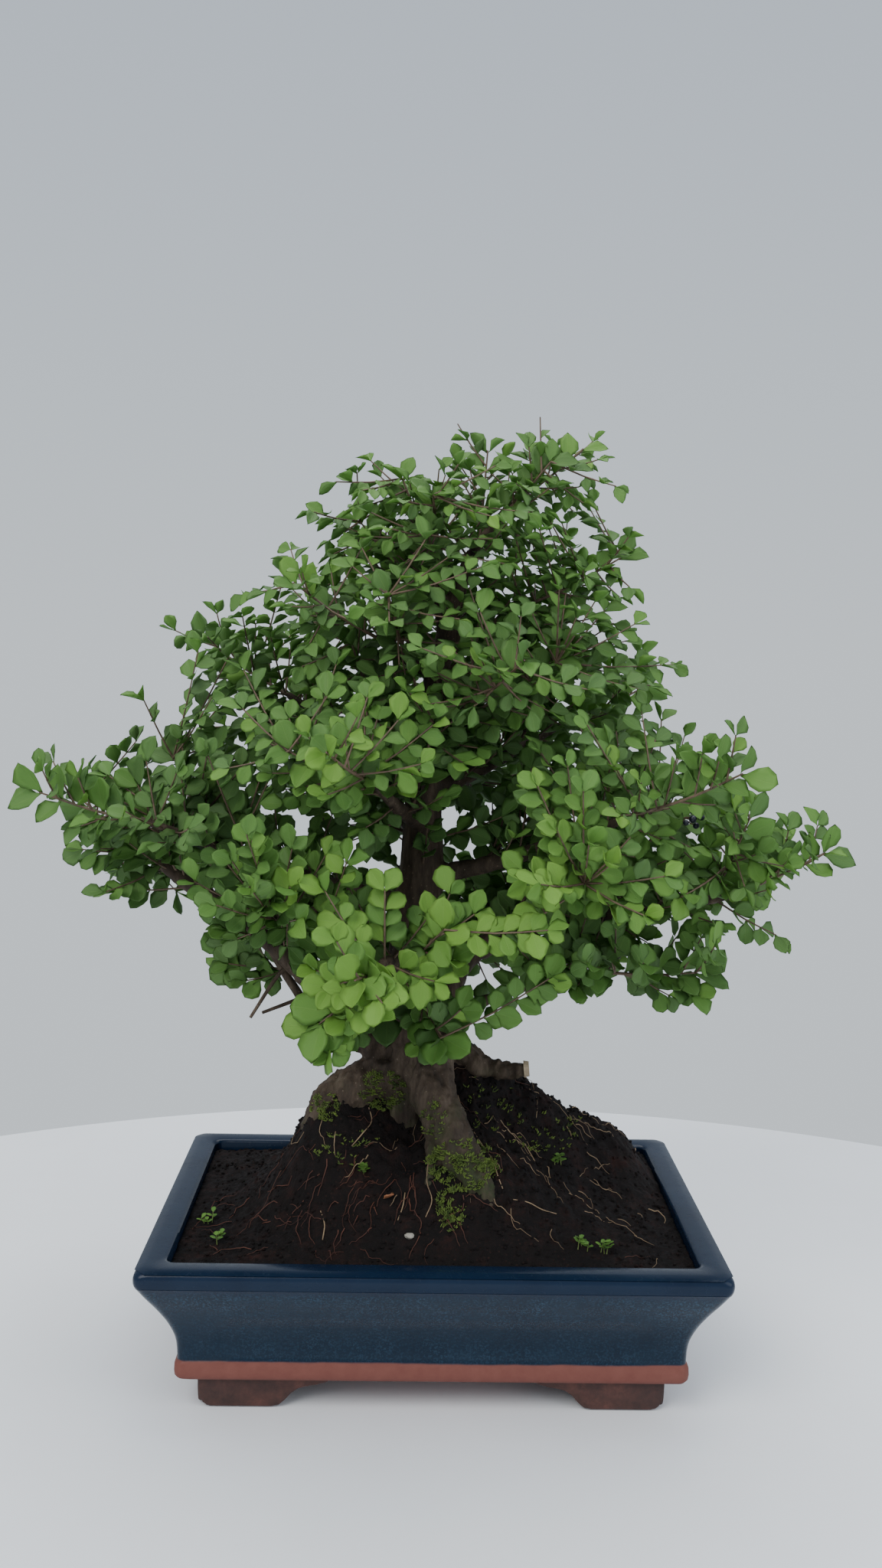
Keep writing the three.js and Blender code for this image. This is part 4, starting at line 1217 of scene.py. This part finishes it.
def restAt(px, py):  # the place and the facing where a line of sight meets the soil or the wood
    right, above, ahead = cameraAxes()
    way = ahead * camera["focal"] + right * (px - camera["width"] / 2) - above * (py - camera["height"] / 2)
    spot, facing, _, _ = groundTree.ray_cast(Vector(camera["place"]) * mm, way.normalized())
    return (spot / mm, facing) if spot else (None, None)


def onGround(spot):
    if spot is None or spot.z >= ground["treeFoot"]:
        return False
    return abs(spot.x) < ground["reachX"] and abs(spot.y) < ground["reachY"]


def makeMoss():
    rng = random.Random(ground["mossSeed"])
    lines = []
    for px, py, wide, high, tufts in ground["moss"]:
        for _ in range(tufts):
            turn, reach = rng.uniform(0, 2 * math.pi), math.sqrt(rng.random())
            spot, facing = restAt(px + wide * reach * math.cos(turn), py + high * reach * math.sin(turn))
            if not onGround(spot) or noise.noise(spot / 5) < -0.12:
                continue
            for _ in range(ground["mossBlades"]):
                lean = Vector((rng.gauss(0, 0.5), rng.gauss(0, 0.5), rng.uniform(0.1, 0.7)))
                way = (facing * 0.8 + lean).normalized()
                foot = spot + Vector((rng.gauss(0, 0.8), rng.gauss(0, 0.8), 0)) - facing * 0.3
                long = rng.uniform(*ground["mossLength"])
                wideFoot, tip = ground["mossRadius"]
                middle, end = foot + way * long * 0.6, foot + way * long
                lines.append([(*foot, wideFoot), (*middle, wideFoot * 0.9), (*end, tip)])
    finish = plainFinish("moss", (0.03, 0.055, 0.01), (0.16, 0.23, 0.035), 160, 0.8, 0.05)
    keep(tubes("moss_tufts", lines, 0, finish))


def rootletFrom(x, y, turn, long, rng):
    line = []
    reachX, reachY = ground["reachX"], ground["reachY"]
    steps = max(int(long / ground["rootletStep"]), 3)
    radius, arch = rng.uniform(*ground["rootletRadius"]), rng.uniform(0, 2.2)
    for n in range(steps + 1):
        x, y = clamp(x, -reachX, reachX), clamp(y, -reachY, reachY)
        share = n / steps
        z = roughSoil(x, y) + 0.2 + arch * math.sin(math.pi * share)
        line.append((x, y, z, radius * (1 - 0.6 * share)))
        turn += rng.uniform(-0.55, 0.55)
        x, y = x + ground["rootletStep"] * math.cos(turn), y + ground["rootletStep"] * math.sin(turn)
    return line


def makeRootlets():
    rng = random.Random(ground["rootletSeed"])
    finishes = {
        "pale_rootlets": plainFinish("paleRootlet", (0.1, 0.06, 0.034), (0.34, 0.24, 0.14), 90, 0.7),
        "red_rootlets": plainFinish("redRootlet", (0.035, 0.009, 0.005), (0.12, 0.038, 0.02), 90, 0.7)}
    limitX, limitY = ground["reachX"] - ground["clearRim"], ground["reachY"] - ground["clearRim"]
    for name, count, heap in ground["scattered"]:
        lines = []
        for n in range(count):
            aside = n % 3 == 0 and name == "pale_rootlets"
            middleX, middleY, wide, deep = ground["paleAside"] if aside else heap
            x, y = rng.gauss(middleX, wide), rng.gauss(middleY, deep)
            if abs(x) > limitX or abs(y) > limitY:
                continue
            turn = math.atan2(y - 10, x + 8) + rng.uniform(-0.9, 0.9)
            lines.append(rootletFrom(x, y, turn, rng.uniform(*ground["rootletLength"]), rng))
        if name == "pale_rootlets":
            for path in ground["paleRootlets"]:
                rests = [restAt(px, py) for px, py in path]
                if all(onGround(spot) for spot, _ in rests):
                    rows = [(*(spot + facing * 0.4), 0.3) for spot, facing in rests]
                    lines.append([tuple(pointOn(rows, n / 12)) for n in range(13)])
        keep(tubes(name, lines, 1, finishes[name]))


def makeWeeds():
    rng = random.Random(ground["weedSeed"])
    bm, shapes = emptyLeaves()
    stems = []
    for px, py, leaves in ground["weeds"]:
        spot, _ = restAt(px, py)
        if not onGround(spot):
            continue
        for _ in range(3):
            foot = spot + Vector((rng.gauss(0, 2), rng.gauss(0, 2), -0.6))
            top = foot + Vector((rng.gauss(0, 1.6), rng.gauss(0, 1.6), rng.uniform(3.5, 7.5)))
            stems.append([(*foot, 0.32), (*foot.lerp(top, 0.5), 0.28), (*top, 0.2)])
            for n in range(leaves):
                turn = n * 2.4 + rng.random()
                along = Vector((math.cos(turn), math.sin(turn), rng.uniform(0.1, 0.6))).normalized()
                face = (Vector((0, 0, 1)) - along * along.z).normalized()
                long = rng.uniform(2.6, 4.4)
                at = foot.lerp(top, 0.5 + 0.5 * n / leaves)
                pose = (at, along, face, long, long * 0.7)
                placeBlade(bm, shapes["round"], pose, rng.uniform(0.1, 0.4), rng.random())
    dropPatterns(bm, shapes)
    obj = objectFrom(bm, "small_weeds", privetLeaf)
    stemGreen = plainFinish("weedStem", (0.09, 0.14, 0.03), (0.16, 0.2, 0.06), 200)
    joinInto(obj, tubes("stems", stems, 0, stemGreen))
    keep(obj)


def makeBerries():
    middle = Vector(ground["berries"])
    home = min(crownLeaves.twigs, key=lambda point: (point - middle).length)
    radius = ground["berryRadius"]
    bm = bmesh.new()
    stalks = []
    for n, away in enumerate(ground["berryPlaces"]):
        spot = middle + Vector(away)
        made = bmesh.ops.create_icosphere(bm, subdivisions=2, radius=radius * (1 - 0.06 * n) * mm)["verts"]
        bmesh.ops.translate(bm, verts=made, vec=spot * mm)
        stalks.append([(*home, 0.5), (*home.lerp(spot, 0.6), 0.4), (*spot, 0.34)])
    for face in bm.faces:
        face.smooth = True
    finish = plainFinish("berrySkin", (0.006, 0.007, 0.014), (0.02, 0.022, 0.04), 260, 0.35, 0.03)
    obj = objectFrom(bm, "dark_berries", finish)
    keep(joinInto(obj, tubes("stalks", stalks, 1, twigBark)))


def makeBits():
    px, py, size = ground["stone"]
    spot, _ = restAt(px, py)
    bm = bmesh.new()
    made = bmesh.ops.create_icosphere(bm, subdivisions=3, radius=1)["verts"]
    for vert in made:
        vert.co *= 1 + 0.22 * noise.noise(vert.co * 1.7)
    bmesh.ops.scale(bm, verts=made, vec=(size * mm, size * 0.8 * mm, size * 0.55 * mm))
    bmesh.ops.translate(bm, verts=made, vec=(spot + Vector((0, 0, 0.4))) * mm)
    stone = plainFinish("paleStone", (0.2, 0.18, 0.15), (0.38, 0.35, 0.3), 300, 0.8)
    keep(objectFrom(bm, "small_stone", stone))
    spot, _ = restAt(*ground["dryLeaf"])
    bm, shapes = emptyLeaves()
    along, face = Vector((0.8, -0.5, 0.34)).normalized(), Vector((-0.2, 0.24, 0.9))
    face = (face - along * face.dot(along)).normalized()
    placeBlade(bm, shapes["cupped"], (spot + Vector((-3, 0, 0.6)), along, face, 7.5, 5.5), 0.5, 0.5)
    dropPatterns(bm, shapes)
    dry = plainFinish("dryLeaf", (0.2, 0.07, 0.03), (0.42, 0.18, 0.08), 200, 0.7)
    keep(objectFrom(bm, "dry_leaf", dry))
    pale = plainFinish("paleWood", (0.3, 0.23, 0.15), (0.45, 0.36, 0.25), 260, 0.75)
    keep(tubes("cut_root_end", [ground["cutEnd"]], 4, pale))


makeMoss()
makeRootlets()
makeWeeds()
makeBerries()
makeBits()
print("moss, rootlets and weeds made")


# Table and light

studio = {
    "tableRadius": 0.78, "tableMiddle": (0.02, -0.38, -0.0006),
    "lamps": [  # name, place, what it points at, width, power and colour
        ("keyLight", (-1.1, -1.5, 1.9), (0, 0, 0.25), 1.6, 42, (1, 0.98, 0.95)),
        ("fillLight", (1.6, -1.0, 1.2), (0, 0, 0.25), 1.8, 18, (0.93, 0.96, 1)),
        ("topLight", (0.1, 0.5, 2.0), (0, 0, 0.3), 1.6, 24, (1, 1, 1))],
    "skyLow": (0.70, 0.76, 0.81, 1), "skyHigh": (0.54, 0.61, 0.70, 1), "skyStrength": 1.04,
}


def makeFloor():
    bm = bmesh.new()
    bmesh.ops.create_circle(bm, cap_ends=True, segments=160, radius=1)
    bmesh.ops.scale(bm, verts=bm.verts, vec=(studio["tableRadius"], studio["tableRadius"], 1))
    bmesh.ops.translate(bm, verts=bm.verts, vec=studio["tableMiddle"])
    finish = plainFinish("paleTable", (0.84, 0.86, 0.88), (0.88, 0.9, 0.92), 6, 0.42, 0.05)
    obj = objectFrom(bm, "table_top", finish)


def areaLight(name, place, target, size, power, colour):
    lamp = bpy.data.lights.new(name, "AREA")
    lamp.shape = "DISK"
    lamp.size = size
    lamp.energy = power
    lamp.color = colour
    obj = bpy.data.objects.new(name, lamp)
    scene.collection.objects.link(obj)
    obj.location = place
    obj.rotation_euler = (Vector(target) - Vector(place)).to_track_quat("-Z", "Y").to_euler()


def makeWorld():
    world = bpy.data.worlds.new("softGrey")
    world.use_nodes = True
    nodes, links = world.node_tree.nodes, world.node_tree.links
    split = nodes.new("ShaderNodeSeparateXYZ")
    ramp = nodes.new("ShaderNodeValToRGB")
    place = nodes.new("ShaderNodeTexCoord")
    links.new(place.outputs["Generated"], split.inputs[0])
    links.new(split.outputs["Z"], ramp.inputs["Fac"])
    ramp.color_ramp.elements[0].position = 0.0
    ramp.color_ramp.elements[0].color = studio["skyLow"]
    ramp.color_ramp.elements[1].position = 0.5
    ramp.color_ramp.elements[1].color = studio["skyHigh"]
    links.new(ramp.outputs["Color"], nodes["Background"].inputs["Color"])
    nodes["Background"].inputs["Strength"].default_value = studio["skyStrength"]
    scene.world = world


makeFloor()
for lamp in studio["lamps"]:
    areaLight(*lamp)
makeWorld()

print("scene ready")
